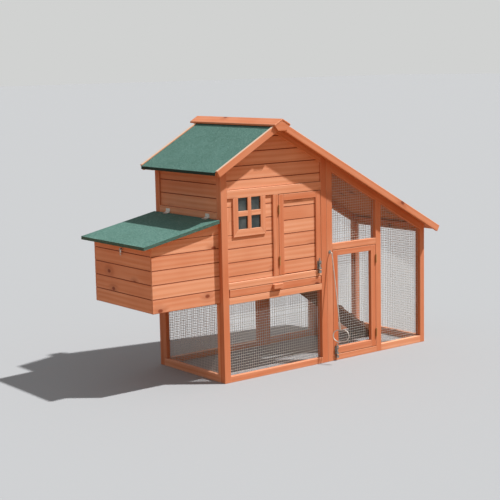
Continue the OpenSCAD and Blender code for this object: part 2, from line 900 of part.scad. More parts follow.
module pop_door_guides() {
  lip_x0 = pop_x1 + pop_clear;
  lip_x1 = lip_x0 + guide_t;
  z0 = pop_z0 - pop_clear;
  z1 = pop_z1 + pop_clear;
  color(wood_dark) place() {
    block(part_x1, lip_x1, post, inner_y, z0 - guide_t, z0);
    block(lip_x0, lip_x1, post, inner_y, z0 + seam, z0 + guide_t);
    block(part_x1, lip_x1, post, inner_y, z1, z1 + guide_t);
    block(lip_x0, lip_x1, post, inner_y, z1 - guide_t, z1 - seam);
  }
}

module ramp_board() {
  foot = ramp_v / ramp_slope;
  color(wood_dark) place()
    prism([[ramp_x0, ramp_z0 - ramp_v], [ramp_x0, ramp_z0], [ramp_x1, 0], [ramp_x1 - foot, 0]],
      ramp_y0, ramp_y1);
}

module ramp_rungs() {
  lift = rung_h * sqrt(1 + pow(ramp_slope, 2));
  fall = rung_w * ramp_slope;
  color(wood_dark) place() for (x = [ramp_x0 + rung_pitch:rung_pitch:ramp_x1 - rung_pitch])
    let (z = ramp_z0 - (x - ramp_x0) * ramp_slope)
      prism([[x, z], [x + rung_w, z - fall], [x + rung_w, z - fall + lift], [x, z + lift]], ramp_y0, ramp_y1);
}

// One hinge knuckle about Z, between two heights
module knuckle(z0, z1) {
  difference() {
    translate([0, 0, z0]) cylinder(h = z1 - z0, r = barrel_r);
    translate([0, 0, z0 - 1]) cylinder(h = z1 - z0 + 2, r = pin_r + fit);
  }
}

// Knuckle heights of a hinge of length l: the outer two are fixed, the middle one moves
function knuckle_z(l) = [-l / 2, -l / 6, l / 6, l / 2];

// A leaf in the door gap, with its tab at one knuckle
module gap_leaf(x0, l, tabs) {
  translate([x0, -barrel_y + 0.2, -l / 2]) cube([leaf_t, leaf_l - 0.2, l]);
  for (t = tabs) translate([x0, pin_r + fit + 0.3, t[0]]) cube([leaf_t, -barrel_y - pin_r, t[1] - t[0]]);
}

module door_hinge_fixed(l) {
  k = knuckle_z(l);
  g = knuckle_gap / 2;
  knuckle(k[0], k[1] - g);
  knuckle(k[2] + g, k[3]);
  gap_leaf(-door_gap / 2, l, [[k[0], k[1] - g], [k[2] + g, k[3]]]);
}

module door_hinge_moving(l) {
  k = knuckle_z(l);
  g = knuckle_gap / 2;
  knuckle(k[1] + g, k[2] - g);
  gap_leaf(door_gap / 2 - leaf_t, l, [[k[1] + g, k[2] - g]]);
}

// Places at both hinges of each door; the run door's hinges are the other hand
module at_house_hinges() {
  for (z = house_hinge_z) translate([house_hinge_x, barrel_y, z]) children();
}

module at_run_hinges() {
  for (z = run_hinge_z) translate([run_hinge_x, barrel_y, z]) mirror([1, 0, 0]) children();
}

// Places at both lid hinges, with the pin along Y
module at_lid_hinges() {
  for (y = lid_hinge_y) translate([lid_axis_x, y, lid_axis_z]) rotate([-90, 0, 0]) children();
}

// A plate beside the barrel in the hinge's own frame: out along -x, thick in y, tabs at z ranges
module flat_leaf(l, from_x, tabs) {
  translate([-lid_leaf_l, -plate_t / 2, -l / 2]) cube([lid_leaf_l - from_x, plate_t, l]);
  for (t = tabs) translate([-from_x - 0.5, -plate_t / 2, t[0]])
    cube([from_x + 0.5 - pin_r - fit - 0.3, plate_t, t[1] - t[0]]);
}

module lid_hinge_fixed() {
  k = knuckle_z(lid_hinge_l);
  g = knuckle_gap / 2;
  knuckle(k[0], k[1] - g);
  knuckle(k[2] + g, k[3]);
  wall = lid_gap / 2;
  for (t = [[k[0], k[1] - g], [k[2] + g, k[3]]])
    translate([pin_r + fit + 0.3, -barrel_r - 1, t[0]])
      cube([wall - pin_r - fit - 0.3, barrel_r, t[1] - t[0]]);
  translate([wall - plate_t, -lid_leaf_l, -lid_hinge_l / 2])
    cube([plate_t, lid_leaf_l - barrel_r, lid_hinge_l]);
}

module lid_hinge_moving() {
  k = knuckle_z(lid_hinge_l);
  g = knuckle_gap / 2;
  knuckle(k[1] + g, k[2] - g);
  rotate([0, 0, -lid_pitch]) flat_leaf(lid_hinge_l, barrel_r + 0.6, [[k[1] + g, k[2] - g]]);
}

module fixed_hinge_leaves() {
  color(metal) place() {
    at_house_hinges() door_hinge_fixed(hinge_l);
    at_run_hinges() door_hinge_fixed(hinge_l);
    at_lid_hinges() lid_hinge_fixed();
  }
}

module hinge_pins() {
  color(metal) place() {
    at_house_hinges() cylinder(h = hinge_l, r = pin_r, center = true);
    at_run_hinges() cylinder(h = hinge_l, r = pin_r, center = true);
    at_lid_hinges() cylinder(h = lid_hinge_l, r = pin_r, center = true);
  }
}

guide_h = 8;
guide_wall = 4;
guide_w = bolt_d + 2 * guide_wall;

// A block with the bolt's bore, from the wood's face outward
module bolt_guide(z0, h) {
  difference() {
    translate([-guide_w / 2, bolt_y - bolt_d / 2 - 2, z0]) cube([guide_w, -bolt_y + bolt_d / 2 + 2, h]);
    translate([0, bolt_y, z0 - 1]) cylinder(h = h + 2, r = bolt_d / 2 + fit);
  }
}

// Plate and two guides of a tower bolt that stands on z = 0
module bolt_barrel() {
  difference() {
    translate([-bolt_plate_w / 2, -plate_t, 1]) cube([bolt_plate_w, plate_t, bolt_plate_h]);
    for (z = [1, 1 + bolt_plate_h - guide_h])
      translate([-guide_w / 2, -plate_t - 1, z]) cube([guide_w, plate_t + 2, guide_h]);
  }
  bolt_guide(1, guide_h);
  bolt_guide(1 + bolt_plate_h - guide_h, guide_h);
}

// The bolt, drawn back, with a knob that rides between the guides
module bolt_rod() {
  knob_r = bolt_d / 3;
  knob_z = 1 + bolt_plate_h - guide_h - knob_r - 0.5;
  translate([0, bolt_y, 0]) cylinder(h = bolt_plate_h + bolt_travel, r = bolt_d / 2);
  translate([0, bolt_y, knob_z]) rotate([90, 0, 0]) cylinder(h = bolt_d * 2, r = knob_r);
}

// The keeper under the door, on the rail's face
module bolt_keeper() {
  difference() {
    translate([-guide_w / 2, bolt_y - bolt_d / 2 - 2, -bolt_travel - 3])
      cube([guide_w, -bolt_y + bolt_d / 2 + 2, bolt_travel - 2]);
    translate([0, bolt_y, -bolt_travel - 4]) cylinder(h = bolt_travel + 4, r = bolt_d / 2 + 0.5);
  }
}

module at_house_bolt() {
  translate([house_bolt_x, 0, hd_z0]) children();
}

module at_run_bolt() {
  translate([run_bolt_x, 0, rd_z0]) children();
}

// The plate round the pull rod's hole
module rod_guide() {
  difference() {
    bar_y(rod_x, -plate_t, 0, rod_z, rod_d * 1.7);
    bar_y(rod_x, -plate_t - 1, 1, rod_z, rod_r + rod_clear);
  }
}

// The shouldered screw that the nest hook turns on
module hook_pivot() {
  bar_x(hook_plate_x + plate_t + 0.4, hook_face_x, hook_y, hook_z, hook_pin_d);
  bar_x(hook_plate_x - 1, hook_face_x - 1, hook_y, hook_z, hook_pin_d / 2);
  bar_x(hook_plate_x - 3, hook_plate_x - 0.4, hook_y, hook_z, hook_pin_d);
}

module fixed_fittings() {
  color(metal) place() {
    at_house_bolt() bolt_keeper();
    at_run_bolt() bolt_keeper();
    rod_guide();
    hook_pivot();
  }
}

module house_door_frame() {
  x0 = hd_x0 + house_stile_w;
  x1 = hd_x1 - house_stile_w;
  color(wood) place() {
    block(hd_x0, x0, door_plane, door_plane + door_t, hd_z0, hd_z1);
    block(x1, hd_x1, door_plane, door_plane + door_t, hd_z0, hd_z1);
    block(x0 + seam, x1 - seam, door_plane, door_plane + door_t, hd_z1 - house_top_h, hd_z1);
  }
}

module house_door_boards() {
  x0 = hd_x0 + house_stile_w;
  x1 = hd_x1 - house_stile_w;
  cuts = row_cuts(hd_z0, hd_z1 - house_top_h, board_h);
  color(wood) place() for (i = [0:len(cuts) - 2])
    board_row(x0, x1, door_plane + door_board_set, cuts[i], cuts[i + 1]);
}

module house_door_hardware() {
  color(metal) place() {
    at_house_hinges() door_hinge_moving(hinge_l);
    at_house_bolt() bolt_barrel();
  }
}

module house_door_bolt() {
  color(metal) place() at_house_bolt() bolt_rod();
}

module run_door_frame() {
  x0 = rd_x0 + run_stile_w;
  x1 = rd_x1 - run_stile_w;
  color(wood) place() {
    block(rd_x0, x0, door_plane, door_plane + door_t, rd_z0, rd_z1);
    block(x1, rd_x1, door_plane, door_plane + door_t, rd_z0, rd_z1);
    block(x0 + seam, x1 - seam, door_plane, door_plane + door_t, rd_z1 - run_top_h, rd_z1);
    block(x0 + seam, x1 - seam, door_plane, door_plane + door_t, rd_z0, rd_z0 + run_bottom_h);
  }
}

module run_door_mesh() {
  lap = run_stile_w / 2;
  top = rd_z1 - run_top_h / 2;
  color(metal) place() net_x(rd_x0 + lap, rd_x1 - lap, rd_z0 + lap, top, top, door_plane + door_t);
}

module run_door_hardware() {
  color(metal) place() {
    at_run_hinges() door_hinge_moving(hinge_l);
    at_run_bolt() bolt_barrel();
  }
}

module run_door_bolt() {
  color(metal) place() at_run_bolt() bolt_rod();
}

lid_y0 = felt_t;
lid_y1 = depth - felt_t;

module nest_lid_board() {
  color(wood_dark) place()
    prism([[lid_x0, lid_under_z(lid_x0)], [lid_x1, lid_under_z(lid_x1)], [lid_x1, lid_board_z(lid_x1)],
      [lid_x0, lid_board_z(lid_x0)]], lid_y0, lid_y1);
}

module nest_lid_felt() {
  x0 = lid_x0 - felt_t;
  color(felt) place() {
    prism([[lid_x0, lid_board_z(lid_x0)], [lid_x1, lid_board_z(lid_x1)], [lid_x1, lid_felt_z(lid_x1)],
      [x0, lid_felt_z(x0)], [x0, lid_under_z(lid_x0)], [lid_x0, lid_under_z(lid_x0)]], lid_y0, lid_y1);
    both_faces()
      prism([[x0, lid_under_z(lid_x0)], [lid_x1, lid_under_z(lid_x1)], [lid_x1, lid_felt_z(lid_x1)],
        [x0, lid_felt_z(x0)]], 0, lid_y0);
  }
}

catch_wall = 4;

// The catch pin and its bracket under the lid's edge
module lid_catch() {
  w = hook_pin_d + 2 * catch_wall;
  translate([catch_x - plate_t, hook_y - w / 2, catch_z - catch_wall])
    cube([plate_t, w, lid_under_z(catch_x) - catch_z + catch_wall - plate_t * lid_tan]);
  bar_x(catch_x - plate_t, hook_plate_x + plate_t + 1, hook_y, catch_z, hook_pin_d / 2);
}

module nest_lid_hardware() {
  color(metal) place() {
    at_lid_hinges() lid_hinge_moving();
    lid_catch();
  }
}

// The hook hangs from its pivot; its slot takes the catch pin when it is swung up
module nest_hook() {
  slot = hook_pin_d + 2.4;
  tip = hook_r + slot / 2 + 4;
  half = hook_pin_d + 1.5;
  color(metal) place() translate([hook_plate_x, hook_y, hook_z]) rotate([90, 0, 90]) linear_extrude(plate_t)
    difference() {
      union() {
        translate([-half, -tip]) square([2 * half, tip]);
        circle(half);
      }
      circle(hook_pin_d / 2 + fit);
      translate([-half - 1, -hook_r - slot / 2]) square([half + 1 + slot / 2, slot]);
    }
}

tray_x0 = bay_x0 + tray_clear;
tray_x1 = bay_x1 - tray_clear;
tray_z0 = tray_z + tray_clear / 2;

module tray_front() {
  base = tray_z + tray_edge_gap;
  top = sill_z - tray_edge_gap;
  mid = (bay_x0 + bay_x1) / 2;
  hz = (base + top - handle_h) / 2 + 4;
  color(wood) place() {
    block(bay_x0 + tray_end_gap, bay_x1 - tray_end_gap, 0, rail_t - seam, base, top);
    block(mid - handle_l / 2, mid + handle_l / 2, -handle_d, -seam, hz, hz + handle_h);
  }
}

module tray_pan() {
  x0 = tray_x0 + 2;
  x1 = tray_x1 - 2;
  y0 = rail_t;
  y1 = depth - rail_t - tray_clear;
  top = tray_z0 + tray_wall_h;
  color(metal) place() difference() {
    block(x0, x1, y0, y1, tray_z0, top);
    block(x0 + tray_t, x1 - tray_t, y0 + tray_t, y1 - tray_t, tray_z0 + tray_t, top + 1);
  }
}

// A round bar about Z down from the origin
module leg(l) {
  translate([0, 0, -l]) cylinder(h = l, r = rod_r, $fn = rod_sides);
}

// Half a round ring in X and Z, open to -x
module half_loop() {
  rotate([90, 0, 0]) rotate([0, 0, -90])
    rotate_extrude(angle = 180) translate([loop_r, 0]) circle(rod_r, $fn = rod_sides);
}

// The wire rod: through the post, bent down, ending in a hand loop
module bent_rod() {
  bar_y(rod_x, -rod_front, rod_end_y - rod_stop, rod_z, rod_r, $fn = rod_sides);
  translate([rod_x, -rod_front, rod_z - rod_bend]) rotate([0, -90, 0])
    rotate_extrude(angle = -(90 - rod_lean)) translate([rod_bend, 0]) circle(rod_r, $fn = rod_sides);
  translate([rod_x, leg_y0, leg_z0]) rotate([-rod_lean, 0, 0]) {
    sphere(rod_r * 1.04);
    leg(rod_drop);
    translate([0, 0, -loop_c]) rotate([0, 0, -loop_turn]) {
      translate([loop_half, 0, 0]) half_loop();
      translate([-loop_half, 0, 0]) mirror([1, 0, 0]) half_loop();
      for (z = [-loop_r, loop_r]) bar_x(-loop_half, loop_half, 0, z, rod_r, $fn = rod_sides);
    }
  }
}

module pull_rod() {
  color(metal) place() bent_rod();
}

// The sliding door, with the block that its rod is let into
module pop_door() {
  color(wood_dark) place() {
    block(pop_x0, pop_x1, pop_y0, pop_y1, pop_z0, pop_z1);
    difference() {
      block(pop_x1 + seam, rod_x + rod_r + rod_wall, pop_y0, rod_end_y,
        rod_z - rod_block / 2, rod_z + rod_block / 2);
      bar_y(rod_x, pop_y0 - 1, rod_end_y - rod_stop, rod_z, rod_r + fit);
    }
  }
}

front_house_posts();
front_run_posts();
back_house_posts();
back_run_posts();
front_house_frame();
back_house_frame();
left_wall_frame();
partition_frame();
front_run_rails();
back_run_rails();
right_end_rails();
front_wall_boards();
back_wall_boards();
left_wall_boards();
partition_boards();
window_frame();
window_pane();
floor_slats();
perch_bar();
nest_wall_boards();
nest_floor();
nest_battens();
nest_divider();
left_roof_boards();
left_roof_felt();
right_roof_boards();
right_roof_felt();
ridge_cap();
front_barge_boards();
back_barge_boards();
front_lower_mesh();
left_lower_mesh();
back_lower_mesh();
run_upper_mesh();
run_side_mesh();
run_back_mesh();
run_end_mesh();
pop_door_guides();
ramp_board();
ramp_rungs();
fixed_hinge_leaves();
hinge_pins();
fixed_fittings();
house_door_frame();
house_door_boards();
house_door_hardware();
house_door_bolt();
run_door_frame();
run_door_mesh();
run_door_hardware();
run_door_bolt();
nest_lid_board();
nest_lid_felt();
nest_lid_hardware();
nest_hook();
tray_front();
tray_pan();
pop_door();
pull_rod();
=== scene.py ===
"""Looks of a wooden chicken coop: stained fir, green roofing felt, galvanised wire and fittings."""
import logging
import math
import random
from dataclasses import dataclass, replace
from enum import Enum, IntEnum
from typing import Any, Iterable, Optional, Sequence

import bmesh
import bpy
from mathutils import Matrix, Vector, noise


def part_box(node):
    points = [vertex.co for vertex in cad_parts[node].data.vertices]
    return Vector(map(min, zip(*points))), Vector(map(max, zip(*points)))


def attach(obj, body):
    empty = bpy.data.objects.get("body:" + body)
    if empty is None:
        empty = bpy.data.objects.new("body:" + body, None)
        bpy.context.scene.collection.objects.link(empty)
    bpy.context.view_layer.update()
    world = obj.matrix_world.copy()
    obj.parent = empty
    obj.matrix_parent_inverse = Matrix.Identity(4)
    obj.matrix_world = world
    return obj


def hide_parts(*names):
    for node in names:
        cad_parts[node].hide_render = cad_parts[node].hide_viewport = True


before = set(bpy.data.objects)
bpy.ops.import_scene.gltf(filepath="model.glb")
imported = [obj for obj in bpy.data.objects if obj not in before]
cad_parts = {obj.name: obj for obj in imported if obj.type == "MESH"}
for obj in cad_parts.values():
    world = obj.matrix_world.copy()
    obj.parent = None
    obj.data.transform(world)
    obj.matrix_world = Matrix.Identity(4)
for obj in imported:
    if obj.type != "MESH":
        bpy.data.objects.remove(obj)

LOG = logging.getLogger("coop")
SEED = 20
MM = 0.001
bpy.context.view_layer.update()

# In copies of CAD nodes, vertices this close become one and faces this flat become whole
WELD_M = 1e-5
FLAT_DEG = 0.5
# A face looks up when the upward part of its normal is larger than this
TOP_FACING = 0.6
# Boards meet in chamfers of this width, which are coloured dark all over as painted shade of the grooves
V_JOINT_MM = 2.2
V_JOINT_SHADE = 1.0
CLADDING_TONE = (-0.45, 0.35)
# How much lighter the other eased edges are drawn: worn stain together with a painted highlight along the
# edges
EDGE_WEAR_AND_HIGHLIGHT = 0.6

Span = tuple[float, float]
Point = tuple[float, float, float]
Sockets = dict[int | str, Any]


class Body(str, Enum):
    """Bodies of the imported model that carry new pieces."""

    COOP = "coop"
    HOUSE_DOOR = "house_door"
    RUN_DOOR = "run_door"
    NEST_LID = "nest_lid"
    LITTER_TRAY = "litter_tray"
    SLIDING_DOOR = "sliding_door"


class Slot(str, Enum):
    """Material slots of the record, stored with each new timber but not read by this script."""

    STAINED = "stained_wood"
    INNER = "inner_wood"
    FELT = "roofing_felt"
    WIRE = "wire_mesh"
    STEEL = "galvanised_steel"


class Edge(Enum):
    """Which edges of a timber are eased."""

    ALL = "all"
    GRAIN = "along the grain"


class Mix(IntEnum):
    """Socket numbers of a Mix node that mixes two colours."""

    SHARE = 0
    FIRST = 6
    SECOND = 7
    RESULT = 2


def linear(hex_code: str) -> tuple[float, float, float, float]:
    """Turn an sRGB hex value into a linear colour.

    Args:
        hex_code: Six hex digits after a hash sign.

    Returns:
        Linear red, green, blue and an alpha of 1.
    """
    parts = [int(hex_code[i:i + 2], 16) / 255 for i in (1, 3, 5)]
    red, green, blue = (c / 12.92 if c <= 0.04045 else ((c + 0.055) / 1.055) ** 2.4 for c in parts)
    return red, green, blue, 1.0


def add(tree: bpy.types.NodeTree, kind: str, sockets: Optional[Sockets] = None,
        **settings: Any) -> bpy.types.Node:
    """Add one node with its settings, values and links.

    Args:
        tree: Node tree that takes the node.
        kind: Blender's type name of the node.
        sockets: Input name or number to a value, or to the output socket that feeds it.
        settings: Attributes of the node.

    Returns:
        The new node.
    """
    node = tree.nodes.new(kind)
    for key, value in settings.items():
        setattr(node, key, value)
    for key, value in (sockets or {}).items():
        if isinstance(value, bpy.types.NodeSocket):
            tree.links.new(value, node.inputs[key])
        else:
            node.inputs[key].default_value = value
    return node


def blank_material(name: str) -> tuple[bpy.types.Material, bpy.types.NodeTree, bpy.types.Node]:
    """Start a material with one Principled shader.

    Args:
        name: Name of the material.

    Returns:
        The material, its node tree and the shader node.
    """
    material = bpy.data.materials.new(name)
    material.use_nodes = True
    tree = material.node_tree
    return material, tree, tree.nodes["Principled BSDF"]


@dataclass(frozen=True)
class StainedFir:
    """Planed fir under a thin orange stain: soft rings, few knots, satin; painted shade in the boards' joints
    and painted highlights on eased edges and top faces.
    """

    name: str
    early: str
    late: str
    deep: str
    knot: str
    # Lighter colour of eased edges: worn stain and a painted edge highlight
    wear_and_highlight: str
    joint: str
    # Pale colour drawn on faces that look up: a painted highlight
    top_highlight: str = "#cbbba7"
    rough: float = 0.62
    rough_less: float = 0.08
    rough_more: float = 0.12
    ior: float = 1.47
    ring_mm: float = 24.0
    heart_mm: float = 35.0
    arch_stretch: float = 0.055
    sway_mm: float = 45.4545
    sway_stretch: float = 10.0
    sway_reach_mm: float = 22.0
    knot_mm: float = 8.5
    knot_gap_mm: float = 170.0
    knot_stretch: float = 1.5
    knot_share: float = 0.34
    knot_push_mm: float = 14.0
    core_rim: Span = (1.4, 0.3)
    halo_rim: Span = (4.5, 0.8)
    halo_dark: float = 0.3
    fibre_mm: float = 9.0
    fibre_length_mm: float = 400.0
    fibre_relief: float = 0.6
    relief: float = 0.1
    relief_mm: float = 0.3
    streak_fibre: float = 1.6
    streak_range: Span = (0.4, 2.1)
    cloud_mm: float = 200.0
    soak_cloud: float = 0.9
    soak_range: Span = (0.1, 1.4)
    tint_most: float = 0.8

    def material(self) -> bpy.types.Material:
        """Build the finish from each timber's own grain coordinates, in metres.

        Returns:
            The material.
        """
        material, tree, shader = blank_material(self.name)
        grain = add(tree, "ShaderNodeAttribute", attribute_name="grain").outputs["Vector"]
        core, halo = self._knots(tree, grain)
        ring = self._rings(tree, grain, halo)
        # Fibres are a fraction of a millimetre wide, and are drawn coarser so that they show
        across = 1 / (self.fibre_mm * MM)
        lengthwise = 1 / (self.fibre_length_mm * MM)
        fibre_at = add(tree, "ShaderNodeMapping", {"Vector": grain, "Scale": (lengthwise, across, across)})
        fibre = add(tree, "ShaderNodeTexNoise",
                    {"Vector": fibre_at.outputs[0], "Scale": 1.0, "Detail": 2.0}).outputs[0]
        colour = self._colour(tree, ring, fibre, core, halo)
        tree.links.new(colour, shader.inputs["Base Color"])
        sheen = add(tree, "ShaderNodeMapRange",
                    {"Value": fibre, "To Min": self.rough - self.rough_less,
                     "To Max": self.rough + self.rough_more})
        tree.links.new(sheen.outputs[0], shader.inputs["Roughness"])
        shader.inputs["IOR"].default_value = self.ior
        height = add(tree, "ShaderNodeMath", {0: fibre, 1: self.fibre_relief, 2: ring},
                     operation="MULTIPLY_ADD")
        bump = add(tree, "ShaderNodeBump",
                   {"Strength": self.relief, "Distance": self.relief_mm * MM, "Height": height.outputs[0]})
        tree.links.new(bump.outputs[0], shader.inputs["Normal"])
        return material

    def _knots(self, tree: bpy.types.NodeTree,
               grain: bpy.types.NodeSocket) -> tuple[bpy.types.NodeSocket, bpy.types.NodeSocket]:
        """Scatter knots over the face of a board, right through its thickness.

        Args:
            tree: Node tree of the material.
            grain: Grain coordinates.

        Returns:
            How far a place is in a knot, and how far in the bent grain round it.
        """
        at = add(tree, "ShaderNodeMapping", {"Vector": grain, "Scale": (1 / self.knot_stretch, 1, 1)})
        cells = add(tree, "ShaderNodeTexVoronoi",
                    {"Vector": at.outputs[0], "Scale": 1 / (self.knot_gap_mm * MM)},
                    voronoi_dimensions="2D", feature="F1")
        lot = add(tree, "ShaderNodeSeparateColor", {"Color": cells.outputs["Color"]}).outputs["Red"]
        chosen = add(tree, "ShaderNodeMath", {0: lot, 1: 1 - self.knot_share}, operation="GREATER_THAN")
        radius = self.knot_mm / self.knot_gap_mm
        found = []
        for outer, inner in (self.core_rim, self.halo_rim):
            near = add(tree, "ShaderNodeMapRange",
                       {"Value": cells.outputs["Distance"], "From Min": radius * outer,
                        "From Max": radius * inner}, interpolation_type="SMOOTHSTEP")
            share = add(tree, "ShaderNodeMath", {0: near.outputs[0], 1: chosen.outputs[0]},
                        operation="MULTIPLY")
            found.append(share.outputs[0])
        core, halo = found
        return core, halo

    def _rings(self, tree: bpy.types.NodeTree, grain: bpy.types.NodeSocket,
               halo: bpy.types.NodeSocket) -> bpy.types.NodeSocket:
        """Draw growth rings as long arches along a flat-sawn board, pushed aside by the knots.

        Args:
            tree: Node tree of the material.
            grain: Grain coordinates.
            halo: How far a place is in the bent grain round a knot.

        Returns:
            Share of the dark late wood.
        """
        # Rings of a few millimetres are drawn coarser so that they show
        arch = add(tree, "ShaderNodeMapping",
                   {"Vector": grain, "Location": (0, 0, self.heart_mm * MM),
                    "Scale": (self.arch_stretch, 1, 1)})
        reach = add(tree, "ShaderNodeVectorMath", {0: arch.outputs[0]}, operation="LENGTH").outputs["Value"]
        across = 1 / (self.sway_mm * MM)
        sway_at = add(tree, "ShaderNodeMapping",
                      {"Vector": grain, "Scale": (across / self.sway_stretch, across, across)})
        sway = add(tree, "ShaderNodeTexNoise", {"Vector": sway_at.outputs[0], "Scale": 1.0, "Detail": 2.0})
        swayed = add(tree, "ShaderNodeMath", {0: sway.outputs[0], 1: self.sway_reach_mm * MM, 2: reach},
                     operation="MULTIPLY_ADD")
        pushed = add(tree, "ShaderNodeMath", {0: halo, 1: self.knot_push_mm * MM, 2: swayed.outputs[0]},
                     operation="MULTIPLY_ADD")
        turn = add(tree, "ShaderNodeMath", {0: pushed.outputs[0], 1: 1 / (self.ring_mm * MM)},
                   operation="MULTIPLY")
        half_ring = 0.5
        saw = add(tree, "ShaderNodeMath", {0: turn.outputs[0], 1: half_ring}, operation="PINGPONG")
        return add(tree, "ShaderNodeMapRange", {"Value": saw.outputs[0], "From Max": half_ring},
                   interpolation_type="SMOOTHSTEP").outputs[0]

    def _colour(self, tree: bpy.types.NodeTree, ring: bpy.types.NodeSocket, fibre: bpy.types.NodeSocket,
                core: bpy.types.NodeSocket, halo: bpy.types.NodeSocket) -> bpy.types.NodeSocket:
        """Mix the stain: streaks, soaked patches, worn edges with a painted highlight, knots, a painted
        highlight on top faces and painted shade in the joints.

        Args:
            tree: Node tree of the material.
            ring: Share of late wood.
            fibre: Streaks along the grain.
            core: How far a place is in a knot.
            halo: How far a place is in the bent grain round a knot.

        Returns:
            The colour.
        """
        tone, wear_and_highlight, top_highlight, joint = (add(tree, "ShaderNodeAttribute", attribute_name=name).outputs["Fac"]
                                   for name in ("tone", "wear_and_highlight", "top_highlight", "joint"))
        place = add(tree, "ShaderNodeTexCoord").outputs["Object"]
        cloud = add(tree, "ShaderNodeTexNoise",
                    {"Vector": place, "Scale": 1 / (self.cloud_mm * MM), "Detail": 3.0}).outputs[0]
        streak = add(tree, "ShaderNodeMath", {0: fibre, 1: self.streak_fibre, 2: ring},
                     operation="MULTIPLY_ADD")
        soak = add(tree, "ShaderNodeMath", {0: cloud, 1: self.soak_cloud, 2: tone},
                   operation="MULTIPLY_ADD")
        streaked, soaked = (
            add(tree, "ShaderNodeMapRange",
                {"Value": raw.outputs[0], "From Min": low, "From Max": high, "To Max": self.tint_most})
            for raw, (low, high) in ((streak, self.streak_range), (soak, self.soak_range)))
        rubbed_and_lit = add(tree, "ShaderNodeMath", {0: wear_and_highlight, 1: cloud}, operation="MULTIPLY")
        dark = add(tree, "ShaderNodeMath", {0: halo, 1: self.halo_dark, 2: core},
                   operation="MULTIPLY_ADD", use_clamp=True)
        colour = linear(self.early)
        # The last layers are wear with a painted edge highlight, the painted top highlight and painted shade
        # in the joints
        layers = ((streaked.outputs[0], self.late), (soaked.outputs[0], self.deep),
                  (rubbed_and_lit.outputs[0], self.wear_and_highlight), (dark.outputs[0], self.knot),
                  (top_highlight, self.top_highlight), (joint, self.joint))
        for share, tint in layers:
            mixed = add(tree, "ShaderNodeMix",
                        {Mix.SHARE: share, Mix.FIRST: colour, Mix.SECOND: linear(tint)}, data_type="RGBA")
            colour = mixed.outputs[Mix.RESULT]
        return colour


@dataclass(frozen=True)
class MineralFelt:
    """Bitumen felt with pressed green slate grit: dead matt, speckled, clouded by weather."""

    name: str = "mineral_felt"
    base: str = "#52766c"
    light: str = "#74938a"
    dark: str = "#33554c"
    cloud: str = "#496c61"
    # Near black of faces that do not look up: painted shade, and bitumen at cut edges
    edge: str = "#1d2724"
    grit_mm: float = 2.4
    pale_from: float = 0.62
    deep_from: float = 0.6
    weather_mm: float = 111.0
    weather_range: Span = (0.35, 0.7)
    rough: float = 0.95
    specular: float = 0.2
    relief: float = 0.6
    relief_mm: float = 0.5

    def material(self) -> bpy.types.Material:
        """Build the finish on object coordinates; the 1 mm grit is drawn coarser so that it shows.

        Returns:
            The material.
        """
        material, tree, shader = blank_material(self.name)
        place = add(tree, "ShaderNodeTexCoord").outputs["Object"]
        grit = add(tree, "ShaderNodeTexVoronoi", {"Vector": place, "Scale": 1 / (self.grit_mm * MM)})
        lot = add(tree, "ShaderNodeSeparateColor", {"Color": grit.outputs["Color"]})
        pale = add(tree, "ShaderNodeMapRange", {"Value": lot.outputs["Red"], "From Min": self.pale_from})
        deep = add(tree, "ShaderNodeMapRange", {"Value": lot.outputs["Green"], "From Min": self.deep_from})
        weather = add(tree, "ShaderNodeTexNoise",
                      {"Vector": place, "Scale": 1 / (self.weather_mm * MM), "Detail": 6.0, "Roughness": 0.6})
        low, high = self.weather_range
        patch = add(tree, "ShaderNodeMapRange",
                    {"Value": weather.outputs[0], "From Min": low, "From Max": high})
        # Faces that do not look up are drawn near black: painted shade on the felt's folds and underside,
        # with the black bitumen of its cut edges
        cut = add(tree, "ShaderNodeAttribute", attribute_name="cut").outputs["Fac"]
        colour = linear(self.base)
        layers = ((patch.outputs[0], self.cloud), (pale.outputs[0], self.light),
                  (deep.outputs[0], self.dark), (cut, self.edge))
        for share, tint in layers:
            mixed = add(tree, "ShaderNodeMix",
                        {Mix.SHARE: share, Mix.FIRST: colour, Mix.SECOND: linear(tint)}, data_type="RGBA")
            colour = mixed.outputs[Mix.RESULT]
        tree.links.new(colour, shader.inputs["Base Color"])
        shader.inputs["Roughness"].default_value = self.rough
        shader.inputs["Specular IOR Level"].default_value = self.specular
        bump = add(tree, "ShaderNodeBump",
                   {"Strength": self.relief, "Distance": self.relief_mm * MM,
                    "Height": grit.outputs["Distance"]})
        tree.links.new(bump.outputs[0], shader.inputs["Normal"])
        return material


@dataclass(frozen=True)
class ZincSteel:
    """Plated steel: zinc with crystal spangle, half dull, a little white rust."""

    name: str
    base: str
    pale: str
    spangle_mm: float = 7.0
    bloom_mm: float = 16.7
    rough: float = 0.42
    rough_less: float = 0.08
    rough_more: float = 0.16
    metallic: float = 0.9

    def material(self) -> bpy.types.Material:
        """Build the finish on object coordinates.

        Returns:
            The material.
        """
        material, tree, shader = blank_material(self.name)
        place = add(tree, "ShaderNodeTexCoord").outputs["Object"]
        crystal = add(tree, "ShaderNodeTexVoronoi",
                      {"Vector": place, "Scale": 1 / (self.spangle_mm * MM)})
        lot = add(tree, "ShaderNodeSeparateColor", {"Color": crystal.outputs["Color"]})
        bloom = add(tree, "ShaderNodeTexNoise",
                    {"Vector": place, "Scale": 1 / (self.bloom_mm * MM), "Detail": 4.0})
        share = add(tree, "ShaderNodeMath", {0: lot.outputs["Red"], 1: bloom.outputs[0]},
                    operation="MULTIPLY")
        colour = add(tree, "ShaderNodeMix",
                     {Mix.SHARE: share.outputs[0], Mix.FIRST: linear(self.base),
                      Mix.SECOND: linear(self.pale)}, data_type="RGBA")
        tree.links.new(colour.outputs[Mix.RESULT], shader.inputs["Base Color"])
        haze = add(tree, "ShaderNodeMapRange",
                   {"Value": lot.outputs["Green"], "To Min": self.rough - self.rough_less,
                    "To Max": self.rough + self.rough_more})
        tree.links.new(haze.outputs[0], shader.inputs["Roughness"])
        shader.inputs["Metallic"].default_value = self.metallic
        return material


